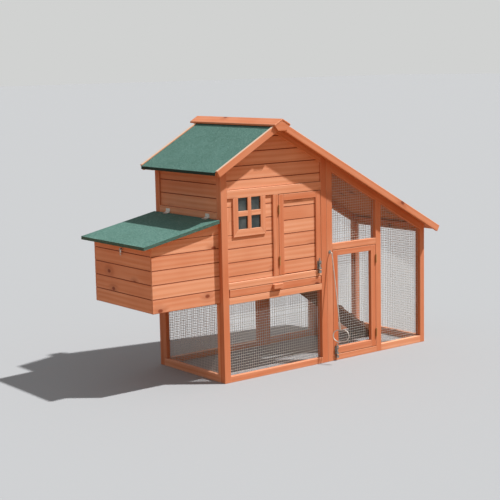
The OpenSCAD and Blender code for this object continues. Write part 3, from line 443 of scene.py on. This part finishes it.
@dataclass(frozen=True)
class DarkPane:
    """Thin clear pane drawn opaque and nearly black, painted shade of the dark room behind it, with a clean
    reflection and patches of dust.
    """

    name: str = "window_pane"
    # Near-black tint: painted shade of the dark room behind the glass
    tint: str = "#2f393a"
    dust: str = "#566060"
    film_mm: float = 55.5
    dust_range: Span = (0.42, 0.75)
    rough_range: Span = (0.03, 0.16)
    ior: float = 1.5

    def material(self) -> bpy.types.Material:
        """Build the finish on object coordinates.

        Returns:
            The material.
        """
        material, tree, shader = blank_material(self.name)
        place = add(tree, "ShaderNodeTexCoord").outputs["Object"]
        film = add(tree, "ShaderNodeTexNoise",
                   {"Vector": place, "Scale": 1 / (self.film_mm * MM), "Detail": 5.0}).outputs[0]
        thin, thick = self.dust_range
        dirt = add(tree, "ShaderNodeMapRange", {"Value": film, "From Min": thin, "From Max": thick})
        colour = add(tree, "ShaderNodeMix",
                     {Mix.SHARE: dirt.outputs[0], Mix.FIRST: linear(self.tint),
                      Mix.SECOND: linear(self.dust)}, data_type="RGBA")
        tree.links.new(colour.outputs[Mix.RESULT], shader.inputs["Base Color"])
        clean, smeared = self.rough_range
        smear = add(tree, "ShaderNodeMapRange", {"Value": film, "To Min": clean, "To Max": smeared})
        tree.links.new(smear.outputs[0], shader.inputs["Roughness"])
        shader.inputs["IOR"].default_value = self.ior
        return material


@dataclass
class Palette:
    """The coop's finishes as built materials."""

    fir: bpy.types.Material
    inner: bpy.types.Material
    trodden: bpy.types.Material
    felt: bpy.types.Material
    zinc: bpy.types.Material
    brass: bpy.types.Material
    bright: bpy.types.Material
    wire: bpy.types.Material
    sheet: bpy.types.Material
    pane: bpy.types.Material

    @classmethod
    def mixed(cls) -> "Palette":
        """Build every finish once.

        Returns:
            The finishes.
        """
        return cls(
            fir=StainedFir("stained_fir", early="#eaac88", late="#d68a60", deep="#be5c28",
                           knot="#8a4326", wear_and_highlight="#f3c6a4", joint="#96481f").material(),
            inner=StainedFir("stained_fir_inside", early="#e3a680", late="#cb8559", deep="#b06335",
                             knot="#6f3820", wear_and_highlight="#dcae8c", joint="#96481f", rough=0.7).material(),
            # Darker copy of the fir for the ramp: painted shade of the deep shadow it lies in
            trodden=StainedFir("trodden_fir", early="#996c50", late="#80533a", deep="#6b3e25",
                               knot="#4d2c1c", wear_and_highlight="#a07a5e", joint="#96481f", rough=0.8).material(),
            felt=MineralFelt().material(),
            zinc=ZincSteel("galvanised_steel", base="#8b8983", pale="#c4c2bb").material(),
            brass=ZincSteel("brassed_steel", base="#b98550", pale="#d8ac76", rough=0.5,
                            metallic=0.3).material(),
            bright=ZincSteel("bright_zinc", base="#c2c0b9", pale="#e4e2db", spangle_mm=5.0, rough=0.4,
                             metallic=0.6).material(),
            wire=ZincSteel("galvanised_wire", base="#c4c4be", pale="#e6e6e0", spangle_mm=3.0, rough=0.5,
                           metallic=0.2).material(),
            sheet=ZincSteel("galvanised_sheet", base="#a3a29c", pale="#c9c8c2", spangle_mm=11.0).material(),
            pane=DarkPane().material(),
        )


def finish_piece(name: str, bm: bmesh.types.BMesh, materials: Sequence[bpy.types.Material], body: Body,
                 nodes: Sequence[str]) -> bpy.types.Object:
    """Turn a bmesh into a piece that rides on a body.

    Args:
        name: Name of the piece.
        bm: Finished shape, freed here.
        materials: Its finishes, in the order of its faces' material numbers.
        body: Body that carries it.
        nodes: CAD nodes that it stands for.

    Returns:
        The piece.
    """
    mesh = bpy.data.meshes.new(name)
    bm.to_mesh(mesh)
    bm.free()
    for material in materials:
        mesh.materials.append(material)
    piece = bpy.data.objects.new(name, mesh)
    bpy.context.scene.collection.objects.link(piece)
    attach(piece, body.value)
    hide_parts(*nodes)
    LOG.info("%s: %d faces on %s", name, len(mesh.polygons), body.value)
    return piece


def coat(node: str, material: bpy.types.Material) -> None:
    """Give a CAD node its finish.

    Args:
        node: Name of the CAD node.
        material: Its finish.
    """
    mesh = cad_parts[node].data
    mesh.materials.clear()
    mesh.materials.append(material)


def solid_copy(node: str) -> bmesh.types.BMesh:
    """Copy a CAD node's mesh, welded, with its flat faces whole.

    Args:
        node: Name of the CAD node.

    Returns:
        The copy.
    """
    bm = bmesh.new()
    bm.from_mesh(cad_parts[node].data)
    bmesh.ops.remove_doubles(bm, verts=bm.verts, dist=WELD_M)
    bmesh.ops.dissolve_limit(bm, angle_limit=math.radians(FLAT_DEG), verts=bm.verts, edges=bm.edges)
    return bm


def islands(bm: bmesh.types.BMesh) -> list[list[bmesh.types.BMVert]]:
    """Sort a mesh into its separate solids.

    Args:
        bm: Mesh to sort.

    Returns:
        Vertices of each solid.
    """
    left = set(bm.verts)
    found = []
    for start in bm.verts:
        if start not in left:
            continue
        left.discard(start)
        group = [start]
        queue = [start]
        while queue:
            for edge in queue.pop().link_edges:
                for vert in edge.verts:
                    if vert in left:
                        left.discard(vert)
                        group.append(vert)
                        queue.append(vert)
        found.append(group)
    return found


def middle_of(group: Sequence[bmesh.types.BMVert]) -> Vector:
    """Find the mean place of some vertices.

    Args:
        group: The vertices.

    Returns:
        Their mean place.
    """
    return sum((vert.co for vert in group), Vector()) / len(group)


def edges_of(group: Iterable[bmesh.types.BMVert]) -> list[bmesh.types.BMEdge]:
    """List the edges at some vertices, each once and always in the same order.

    Args:
        group: The vertices.

    Returns:
        Their edges.
    """
    return list(dict.fromkeys(edge for vert in group for edge in vert.link_edges))


def grain_axis(group: Iterable[bmesh.types.BMVert]) -> Vector:
    """Find the direction of a timber's longest edge.

    Args:
        group: Vertices of the timber.

    Returns:
        Unit vector along the grain.
    """
    longest = max(edges_of(group), key=lambda edge: edge.calc_length())
    axis = (longest.verts[1].co - longest.verts[0].co).normalized()
    return axis if max(axis, key=abs) > 0 else -axis


@dataclass
class Timber:
    """The members of one CAD node, with eased edges and their own grain."""

    node: str
    body: Body
    slot: Slot
    ease_mm: float = 1.4
    edges: Edge = Edge.ALL
    shortest_mm: float = 9.0
    tone: Span = (-0.45, 0.5)
    joint_dirt: float = 0.0
    top_highlight_share: float = 0.0
    sharp_deg: float = 20.0
    along_grain: float = 0.98
    across_grain: float = 0.1
    shift_m: float = 40.0
    heart_shift_m: float = 0.05
    plank_gap_m: float = 3.0
    plank_count: int = 30

    def build(self, material: bpy.types.Material) -> bpy.types.Object:
        """Ease the edges, lay the grain and finish the piece.

        Args:
            material: Finish of the timber.

        Returns:
            The piece.
        """
        bm = solid_copy(self.node)
        eased = []
        # One call for each member, because a short edge anywhere would narrow every bevel of its call
        for picked in self._picked_edges(bm):
            made = bmesh.ops.bevel(bm, geom=picked, offset=self.ease_mm * MM, offset_type="OFFSET",
                                   segments=2, profile=0.5, affect="EDGES", clamp_overlap=True, material=-1)
            eased.extend(made["faces"])
        bm.faces.index_update()
        bm.normal_update()
        self._lay_grain(bm, {face.index for face in eased})
        return finish_piece(self.node + "_timber", bm, [material], self.body, [self.node])

    def _picked_edges(self, bm: bmesh.types.BMesh) -> list[list[bmesh.types.BMEdge]]:
        """Choose the edges to ease.

        Args:
            bm: Mesh of the members.

        Returns:
            Sharp edges of each member that are long enough.
        """
        members = []
        for group in islands(bm):
            axis = grain_axis(group)
            picked = []
            for edge in edges_of(group):
                if edge.calc_length() < self.shortest_mm * MM or not edge.is_manifold:
                    continue
                if edge.calc_face_angle() < math.radians(self.sharp_deg):
                    continue
                along = (edge.verts[1].co - edge.verts[0].co).normalized()
                if self.edges is Edge.ALL or abs(along.dot(axis)) > self.along_grain:
                    picked.append(edge)
            members.append(picked)
        return members

    def _lay_grain(self, bm: bmesh.types.BMesh, eased: set[int]) -> None:
        """Write grain coordinates, tone, edge wear with a painted edge highlight, painted joint shade and
        painted top highlights for each member.

        Args:
            bm: Mesh of the members.
            eased: Numbers of the eased edges' faces.
        """
        grain = bm.verts.layers.float_vector.new("grain")
        tone = bm.verts.layers.float.new("tone")
        wear_and_highlight = bm.faces.layers.float.new("wear_and_highlight")
        joint = bm.faces.layers.float.new("joint")
        top_highlight = bm.faces.layers.float.new("top_highlight")
        draw = random.Random(f"{SEED} {self.node}")
        for face in bm.faces:
            # Chamfered board edges take the painted groove shade; other eased edges are lightened for wear
            # and a painted highlight
            if face.index in eased:
                face[joint] = self.joint_dirt
                face[wear_and_highlight] = EDGE_WEAR_AND_HIGHLIGHT if self.joint_dirt == 0 else 0.0
            # Faces that look up take the painted top highlight
            if face.normal.z > TOP_FACING:
                face[top_highlight] = self.top_highlight_share
        for group in islands(bm):
            along = grain_axis(group)
            faces = dict.fromkeys(face for vert in group for face in vert.link_faces)
            sides = [face for face in faces if abs(face.normal.dot(along)) < self.across_grain]
            through = max(sides, key=lambda face: face.calc_area()).normal.copy()
            across = through.cross(along)
            middle = middle_of(group)
            offset = self._cut_from_log(draw)
            shade = draw.uniform(*self.tone)
            for vert in group:
                reach = vert.co - middle
                vert[grain] = Vector((reach.dot(along), reach.dot(across), reach.dot(through))) + offset
                vert[tone] = shade

    def _cut_from_log(self, draw: random.Random) -> Vector:
        """Pick where in the logs a member was cut, so that no two members share their grain.

        Args:
            draw: Source of the random numbers.

        Returns:
            Offset of its grain coordinates.
        """
        lengthwise = draw.uniform(-self.shift_m, self.shift_m)
        sideways = draw.uniform(-self.heart_shift_m, self.heart_shift_m)
        plank = draw.randint(0, self.plank_count)
        return Vector((lengthwise, sideways + self.plank_gap_m * plank, 0.0))


def cladding(node: str, body: Body, slot: Slot) -> Timber:
    """Describe boards whose long edges are chamfered into V-joints, coloured dark as painted shade.

    Args:
        node: CAD node of the boards.
        body: Body that carries them.
        slot: Material slot of the record.

    Returns:
        The boards, ready to build.
    """
    return Timber(node, body, slot, V_JOINT_MM, Edge.GRAIN, tone=CLADDING_TONE, joint_dirt=V_JOINT_SHADE)


@dataclass
class FeltSheet:
    """Roofing felt laid over boards, in slight waves."""

    node: str
    body: Body
    ease_mm: float = 1.2
    side_shade_share: float = 0.85
    sharp_deg: float = 40.0
    grid_mm: float = 28.0
    cut_m: float = 1e-6
    wave_mm: float = 0.7
    wave_facing: float = 0.8
    swells_per_m: float = 7.0
    swell_share: float = 0.7
    ripples_per_m: float = 19.0
    ripple_share: float = 0.3

    def build(self, material: bpy.types.Material) -> bpy.types.Object:
        """Cut the sheet into a grid and lift its top a little here and there.

        Args:
            material: Finish of the felt.

        Returns:
            The piece.
        """
        bm = solid_copy(self.node)
        sharp = [edge for edge in bm.edges if edge.calc_face_angle(0.0) > math.radians(self.sharp_deg)]
        bmesh.ops.bevel(bm, geom=sharp, offset=self.ease_mm * MM, offset_type="OFFSET", segments=2,
                        profile=0.5, affect="EDGES", clamp_overlap=True, material=-1)
        low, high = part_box(self.node)
        for axis in (0, 1):
            steps = int((high[axis] - low[axis]) / (self.grid_mm * MM))
            normal = Vector((axis == 0, axis == 1, 0))
            for step in range(1, steps):
                point = normal * (low[axis] + (high[axis] - low[axis]) * step / steps)
                bmesh.ops.bisect_plane(bm, geom=bm.verts[:] + bm.edges[:] + bm.faces[:], dist=self.cut_m,
                                       plane_co=point, plane_no=normal)
        bm.normal_update()
        # Faces that do not look up take the painted shade
        cut = bm.faces.layers.float.new("cut")
        for face in bm.faces:
            face[cut] = 0.0 if face.normal.z > TOP_FACING else self.side_shade_share
        for vert in bm.verts:
            if vert.normal.z > self.wave_facing:
                swell = noise.noise(vert.co * self.swells_per_m) * self.swell_share
                ripple = noise.noise(vert.co * self.ripples_per_m) * self.ripple_share
                vert.co += vert.normal * self.wave_mm * MM * (swell + ripple)
        return finish_piece(self.node + "_sheet", bm, [material], self.body, [self.node])


@dataclass(frozen=True)
class Panel:
    """One stretch of net: its ends along its axis, the heights of its edges and its place across."""

    start: float
    end: float
    base: float
    top_start: float
    top_end: float
    face: float


@dataclass
class WeldedNet:
    """Welded wire of half-inch squares, upright along one axis, its top level or sloping."""

    node: str
    body: Body
    along: Vector
    panels: Sequence[Panel]
    pitch_mm: float = 12.7
    wire_mm: float = 1.35
    layer_share: float = 0.45
    sides: int = 6
    fewest_columns: int = 2

    def build(self, material: bpy.types.Material) -> bpy.types.Object:
        """Lay upright wires on one side of the panels' middle and level wires on the other.

        Args:
            material: Finish of the wire.

        Returns:
            The piece.
        """
        bm = bmesh.new()
        for panel in self.panels:
            grade = (panel.top_end - panel.top_start) / (panel.end - panel.start)
            self._uprights(bm, panel, grade)
            self._levels(bm, panel, grade)
        return finish_piece(self.node + "_wires", bm, [material], self.body, [self.node])

    def _uprights(self, bm: bmesh.types.BMesh, panel: Panel, grade: float) -> None:
        """Stand the upright wires of a panel side by side.

        Args:
            bm: Mesh of the net.
            panel: The panel.
            grade: Rise of its upper edge for each metre along.
        """
        across = panel.face - self.wire_mm * MM * self.layer_share
        length = panel.end - panel.start
        columns = max(self.fewest_columns, round(length / (self.pitch_mm * MM)))
        for column in range(columns + 1):
            at = panel.start + length * column / columns
            top = panel.top_start + grade * (at - panel.start)
            self._wire(bm, (at, across, panel.base), (at, across, top))

    def _levels(self, bm: bmesh.types.BMesh, panel: Panel, grade: float) -> None:
        """Lay the level wires of a panel one over the other, as far as its upper edge lets them.

        Args:
            bm: Mesh of the net.
            panel: The panel.
            grade: Rise of its upper edge for each metre along.
        """
        across = panel.face + self.wire_mm * MM * self.layer_share
        height = panel.base + self.pitch_mm * MM / 2
        while height < max(panel.top_start, panel.top_end) - self.wire_mm * MM:
            end = panel.end
            if height > min(panel.top_start, panel.top_end):
                end = panel.start + (height - panel.top_start) / grade
            self._wire(bm, (panel.start, across, height), (end, across, height))
            height += self.pitch_mm * MM

    def _wire(self, bm: bmesh.types.BMesh, first: Point, last: Point) -> None:
        """Add one straight wire, unless it would be shorter than it is thick.

        Args:
            bm: Mesh of the net.
            first: Its start, as a place along, across and in height.
            last: Its end, in the same way.
        """
        side = Vector((self.along.y, self.along.x, 0))
        ends = [self.along * p[0] + side * p[1] + Vector((0, 0, p[2])) for p in (first, last)]
        run = ends[1] - ends[0]
        if run.length < self.wire_mm * MM:
            return
        turn = run.to_track_quat("Z", "Y").to_matrix().to_4x4()
        bmesh.ops.create_cone(bm, cap_ends=True, segments=self.sides, radius1=self.wire_mm * MM / 2,
                              radius2=self.wire_mm * MM / 2, depth=run.length,
                              matrix=Matrix.Translation((ends[0] + ends[1]) / 2) @ turn)


@dataclass
class House:
    """Frame, cladding and window of the raised house, with what is inside it."""

    palette: Palette
    post_tone: Span = (0.4, 0.9)
    window_ease_mm: float = 1.0

    def build(self) -> None:
        """Dress posts, rails, boards and the window."""
        fir = self.palette.fir
        for node in ("front_house_posts", "back_house_posts"):
            Timber(node, Body.COOP, Slot.STAINED, tone=self.post_tone).build(fir)
        for node in ("front_house_frame", "back_house_frame", "left_wall_frame"):
            Timber(node, Body.COOP, Slot.STAINED).build(fir)
        for node in ("front_wall_boards", "back_wall_boards", "left_wall_boards"):
            cladding(node, Body.COOP, Slot.STAINED).build(fir)
        Timber("window_frame", Body.COOP, Slot.STAINED, self.window_ease_mm).build(fir)
        coat("window_pane", self.palette.pane)
        for node in ("partition_frame", "floor_slats", "perch_bar", "pop_door_guides"):
            Timber(node, Body.COOP, Slot.INNER).build(self.palette.inner)
        cladding("partition_boards", Body.COOP, Slot.INNER).build(self.palette.inner)


@dataclass
class Doors:
    """House door, run door and the sliding pop door."""

    palette: Palette
    frame_tone: Span = (0.3, 0.8)
    pop_ease_mm: float = 1.2

    def build(self) -> None:
        """Dress the doors' timber."""
        fir = self.palette.fir
        Timber("house_door_frame", Body.HOUSE_DOOR, Slot.STAINED, tone=self.frame_tone).build(fir)
        cladding("house_door_boards", Body.HOUSE_DOOR, Slot.STAINED).build(fir)
        Timber("run_door_frame", Body.RUN_DOOR, Slot.STAINED, tone=self.frame_tone).build(fir)
        Timber("pop_door", Body.SLIDING_DOOR, Slot.INNER, self.pop_ease_mm).build(self.palette.inner)


@dataclass
class NestBox:
    """Nest box with its walls, floor, battens, divider and lid."""

    palette: Palette
    board_ease_mm: float = 1.0
    felt_fold_mm: float = 2.6
    felt_side_shade: float = 0.2

    def build(self) -> None:
        """Dress boards and lid."""
        inner = self.palette.inner
        cladding("nest_wall_boards", Body.COOP, Slot.STAINED).build(self.palette.fir)
        for node in ("nest_floor", "nest_battens", "nest_divider"):
            Timber(node, Body.COOP, Slot.INNER, self.board_ease_mm).build(inner)
        Timber("nest_lid_board", Body.NEST_LID, Slot.INNER, self.board_ease_mm).build(inner)
        FeltSheet("nest_lid_felt", Body.NEST_LID, self.felt_fold_mm,
                  self.felt_side_shade).build(self.palette.felt)


@dataclass
class Roof:
    """Roof boards, felt, ridge cap and barge boards."""

    palette: Palette
    board_ease_mm: float = 1.0
    trim_ease_mm: float = 1.8
    cap_tone: Span = (0.4, 0.8)
    barge_tone: Span = (0.1, 0.5)
    # Painted highlight on the barge boards' top faces
    barge_top_highlight: float = 0.85

    def build(self) -> None:
        """Dress both slopes and their trim."""
        fir = self.palette.fir
        for side in ("left", "right"):
            boards = Timber(f"{side}_roof_boards", Body.COOP, Slot.INNER, self.board_ease_mm)
            boards.build(self.palette.inner)
            FeltSheet(f"{side}_roof_felt", Body.COOP).build(self.palette.felt)
        Timber("ridge_cap", Body.COOP, Slot.STAINED, self.trim_ease_mm, tone=self.cap_tone).build(fir)
        for node in ("front_barge_boards", "back_barge_boards"):
            Timber(node, Body.COOP, Slot.STAINED, self.trim_ease_mm, tone=self.barge_tone,
                   top_highlight_share=self.barge_top_highlight).build(fir)


@dataclass
class Run:
    """Posts, rails, ramp and wire of the run, and the wire under the house."""

    palette: Palette
    shortest_mm: float = 12.0
    post_tone: Span = (0.3, 0.9)
    rail_tone: Span = (-0.3, 0.5)
    roof_pitch_deg: float = 29.25

    def build(self) -> None:
        """Dress the run's timber and stretch its wire."""
        posts = ("front_run_posts", "back_run_posts")
        rails = ("front_run_rails", "back_run_rails", "right_end_rails")
        for nodes, tone in ((posts, self.post_tone), (rails, self.rail_tone)):
            for node in nodes:
                Timber(node, Body.COOP, Slot.STAINED, shortest_mm=self.shortest_mm,
                       tone=tone).build(self.palette.fir)
        # The ramp takes the darker fir, painted shade of the run's deep shadow
        for node in ("ramp_board", "ramp_rungs"):
            Timber(node, Body.COOP, Slot.INNER).build(self.palette.trodden)
        self._nets()

    def _nets(self) -> None:
        """Put fine welded wire in place of every plain net."""
        wire = self.palette.wire
        fall = math.tan(math.radians(self.roof_pitch_deg))
        along_x = Vector((1, 0, 0))
        along_y = Vector((0, 1, 0))
        for node, body in (("front_lower_mesh", Body.COOP), ("back_lower_mesh", Body.COOP),
                           ("run_door_mesh", Body.RUN_DOOR)):
            low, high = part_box(node)
            panel = Panel(low.x, high.x, low.z, high.z, high.z, (low.y + high.y) / 2)
            WeldedNet(node, body, along_x, [panel]).build(wire)
        for node in ("left_lower_mesh", "run_end_mesh"):
            low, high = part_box(node)
            panel = Panel(low.y, high.y, low.z, high.z, high.z, (low.x + high.x) / 2)
            WeldedNet(node, Body.COOP, along_y, [panel]).build(wire)
        bays = []
        for node in ("run_upper_mesh", "run_side_mesh"):
            low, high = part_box(node)
            top_end = high.z - fall * (high.x - low.x)
            panel = Panel(low.x, high.x, low.z, high.z, top_end, (low.y + high.y) / 2)
            WeldedNet(node, Body.COOP, along_x, [panel]).build(wire)
            bays.append(panel)
        # The back has the same two bays, open down to its ground rail
        low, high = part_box("run_back_mesh")
        behind = [replace(bay, base=low.z, face=(low.y + high.y) / 2) for bay in bays]
        WeldedNet("run_back_mesh", Body.COOP, along_x, behind).build(wire)


@dataclass
class LitterTray:
    """Tray front with its handle, and the sheet pan behind it."""

    palette: Palette
    front_ease_mm: float = 1.6
    front_tone: Span = (0.3, 0.6)

    def build(self) -> None:
        """Dress front and pan."""
        Timber("tray_front", Body.LITTER_TRAY, Slot.STAINED, self.front_ease_mm,
               tone=self.front_tone).build(self.palette.fir)
        coat("tray_pan", self.palette.sheet)


@dataclass
class SplitFitting:
    """A CAD node of small fittings in two finishes, by where they are along the coop."""

    node: str
    body: Body
    limit_x: float

    def build(self, left: bpy.types.Material, right: bpy.types.Material) -> bpy.types.Object:
        """Copy the fittings and give each its finish.

        Args:
            left: Finish of what lies left of the limit.
            right: Finish of the rest.

        Returns:
            The piece.
        """
        bm = solid_copy(self.node)
        for group in islands(bm):
            number = 0 if middle_of(group).x < self.limit_x else 1
            for vert in group:
                for face in vert.link_faces:
                    face.material_index = number
        return finish_piece(self.node + "_fittings", bm, [left, right], self.body, [self.node])


@dataclass
class Ironmongery:
    """Hinges, bolts, hook and pull rod."""

    palette: Palette

    def build(self) -> None:
        """Give every fitting its plating: bright zinc on the lid, brass on the doors' hinges."""
        zinc, brass, bright = self.palette.zinc, self.palette.brass, self.palette.bright
        wall_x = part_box("left_wall_frame")[1].x
        for node in ("fixed_hinge_leaves", "hinge_pins"):
            SplitFitting(node, Body.COOP, wall_x).build(bright, brass)
        for node, body, door in (("house_door_hardware", Body.HOUSE_DOOR, "house_door_frame"),
                                 ("run_door_hardware", Body.RUN_DOOR, "run_door_frame")):
            low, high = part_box(door)
            finishes = (brass, zinc) if body is Body.HOUSE_DOOR else (zinc, brass)
            SplitFitting(node, body, (low.x + high.x) / 2).build(*finishes)
        for node in ("fixed_fittings", "house_door_bolt", "run_door_bolt"):
            coat(node, zinc)
        for node in ("nest_lid_hardware", "nest_hook", "pull_rod"):
            coat(node, bright)


@dataclass
class Studio:
    """Pale floor, soft light and the camera at the photograph's angle."""

    camera_at: Point = (-3.80746, -4.74639, 1.45939)
    yaw_deg: float = 37.83075
    pitch_deg: float = 8.49093
    roll_deg: float = -1.22129
    focal_px: float = 1249.24
    frame_px: float = 500.0
    sensor_mm: float = 36.0
    floor_half_m: float = 90.0
    floor_hex: str = "#a0a1a2"
    floor_bounce_hex: str = "#9c7148"
    floor_rough: float = 0.9
    floor_specular: float = 0.1
    sky_hex: str = "#d1d2d1"
    sky_fill_hex: str = "#f6f7fa"
    sky_light: float = 0.5
    horizon_share: float = 0.25
    dome_rise: float = 0.5
    key_power: float = 5.05
    key_angle_deg: float = 1.6
    key_azimuth_deg: float = 50.0
    key_height_deg: float = 57.0
    key_far_m: float = 6.0

    def build(self) -> None:
        """Set up floor, light, camera and view."""
        self._floor()
        self._sky()
        self._key()
        self._camera()
        bpy.context.scene.view_settings.view_transform = "Standard"

    def _floor(self) -> None:
        """Lay a plain pale floor that throws back warmer and darker light than it shows."""
        bm = bmesh.new()
        bmesh.ops.create_grid(bm, x_segments=1, y_segments=1, size=self.floor_half_m)
        mesh = bpy.data.meshes.new("studio_floor")
        bm.to_mesh(mesh)
        bm.free()
        material, tree, shader = blank_material("studio_floor")
        path = add(tree, "ShaderNodeLightPath")
        seen = add(tree, "ShaderNodeMath",
                   {0: path.outputs["Is Camera Ray"], 1: path.outputs["Is Glossy Ray"]}, operation="MAXIMUM")
        seen = add(tree, "ShaderNodeMath", {0: seen.outputs[0], 1: path.outputs["Is Transmission Ray"]},
                   operation="MAXIMUM")
        colour = add(tree, "ShaderNodeMix",
                     {Mix.SHARE: seen.outputs[0], Mix.FIRST: linear(self.floor_bounce_hex),
                      Mix.SECOND: linear(self.floor_hex)}, data_type="RGBA")
        tree.links.new(colour.outputs[Mix.RESULT], shader.inputs["Base Color"])
        shader.inputs["Roughness"].default_value = self.floor_rough
        shader.inputs["Specular IOR Level"].default_value = self.floor_specular
        mesh.materials.append(material)
        floor = bpy.data.objects.new("studio_floor", mesh)
        bpy.context.scene.collection.objects.link(floor)

    def _sky(self) -> None:
        """Hang a sky that is seen pale and even, and lights most from above."""
        world = bpy.data.worlds.new("studio_sky")
        world.use_nodes = True
        tree = world.node_tree
        tree.nodes.clear()
        path = add(tree, "ShaderNodeLightPath")
        seen = add(tree, "ShaderNodeMath",
                   {0: path.outputs["Is Camera Ray"], 1: path.outputs["Is Glossy Ray"]}, operation="MAXIMUM")
        colour = add(tree, "ShaderNodeMix",
                     {Mix.SHARE: seen.outputs[0], Mix.FIRST: linear(self.sky_fill_hex),
                      Mix.SECOND: linear(self.sky_hex)}, data_type="RGBA")
        way = add(tree, "ShaderNodeSeparateXYZ", {0: add(tree, "ShaderNodeTexCoord").outputs["Generated"]})
        dome = add(tree, "ShaderNodeMapRange",
                   {"Value": way.outputs["Z"], "From Max": self.dome_rise,
                    "To Min": self.sky_light * self.horizon_share, "To Max": self.sky_light},
                   interpolation_type="SMOOTHSTEP")
        strength = add(tree, "ShaderNodeMapRange",
                       {"Value": seen.outputs[0], "To Min": dome.outputs[0], "To Max": 1.0})
        sky = add(tree, "ShaderNodeBackground",
                  {"Color": colour.outputs[Mix.RESULT], "Strength": strength.outputs[0]})
        add(tree, "ShaderNodeOutputWorld", {"Surface": sky.outputs[0]})
        bpy.context.scene.world = world

    def _key(self) -> None:
        """Hang the key light at the front right, where the photograph's shadows put it."""
        lamp = bpy.data.lights.new("studio_key", "SUN")
        lamp.energy = self.key_power
        lamp.angle = math.radians(self.key_angle_deg)
        key = bpy.data.objects.new("studio_key", lamp)
        side, height = math.radians(self.key_azimuth_deg), math.radians(self.key_height_deg)
        level = math.cos(height)
        towards = Vector((math.sin(side) * level, -math.cos(side) * level, math.sin(height)))
        key.location = towards * self.key_far_m
        key.rotation_mode = "QUATERNION"
        key.rotation_quaternion = towards.to_track_quat("Z", "Y")
        bpy.context.scene.collection.objects.link(key)

    def _camera(self) -> None:
        """Stand the camera where the photograph was taken."""
        yaw, pitch, roll = (math.radians(a) for a in (self.yaw_deg, self.pitch_deg, self.roll_deg))
        ahead = Vector((math.sin(yaw) * math.cos(pitch), math.cos(yaw) * math.cos(pitch), -math.sin(pitch)))
        level = Vector((math.cos(yaw), -math.sin(yaw), 0))
        above = level.cross(ahead)
        right = level * math.cos(roll) + above * math.sin(roll)
        upward = above * math.cos(roll) - level * math.sin(roll)
        lens = bpy.data.cameras.new("photo_camera")
        lens.sensor_fit = "HORIZONTAL"
        lens.sensor_width = self.sensor_mm
        lens.lens = self.focal_px / self.frame_px * self.sensor_mm
        camera = bpy.data.objects.new("photo_camera", lens)
        turn = Matrix((right, upward, -ahead)).transposed().to_4x4()
        camera.matrix_world = Matrix.Translation(self.camera_at) @ turn
        bpy.context.scene.collection.objects.link(camera)
        bpy.context.scene.camera = camera


def main() -> None:
    """Build the studio and every sub-assembly."""
    logging.basicConfig(level=logging.INFO, format="%(name)s %(message)s")
    palette = Palette.mixed()
    for part in (Studio(), House(palette), Doors(palette), NestBox(palette), Roof(palette), Run(palette),
                 LitterTray(palette), Ironmongery(palette)):
        LOG.info("building %s", type(part).__name__)
        part.build()


if __name__ == "__main__":
    main()
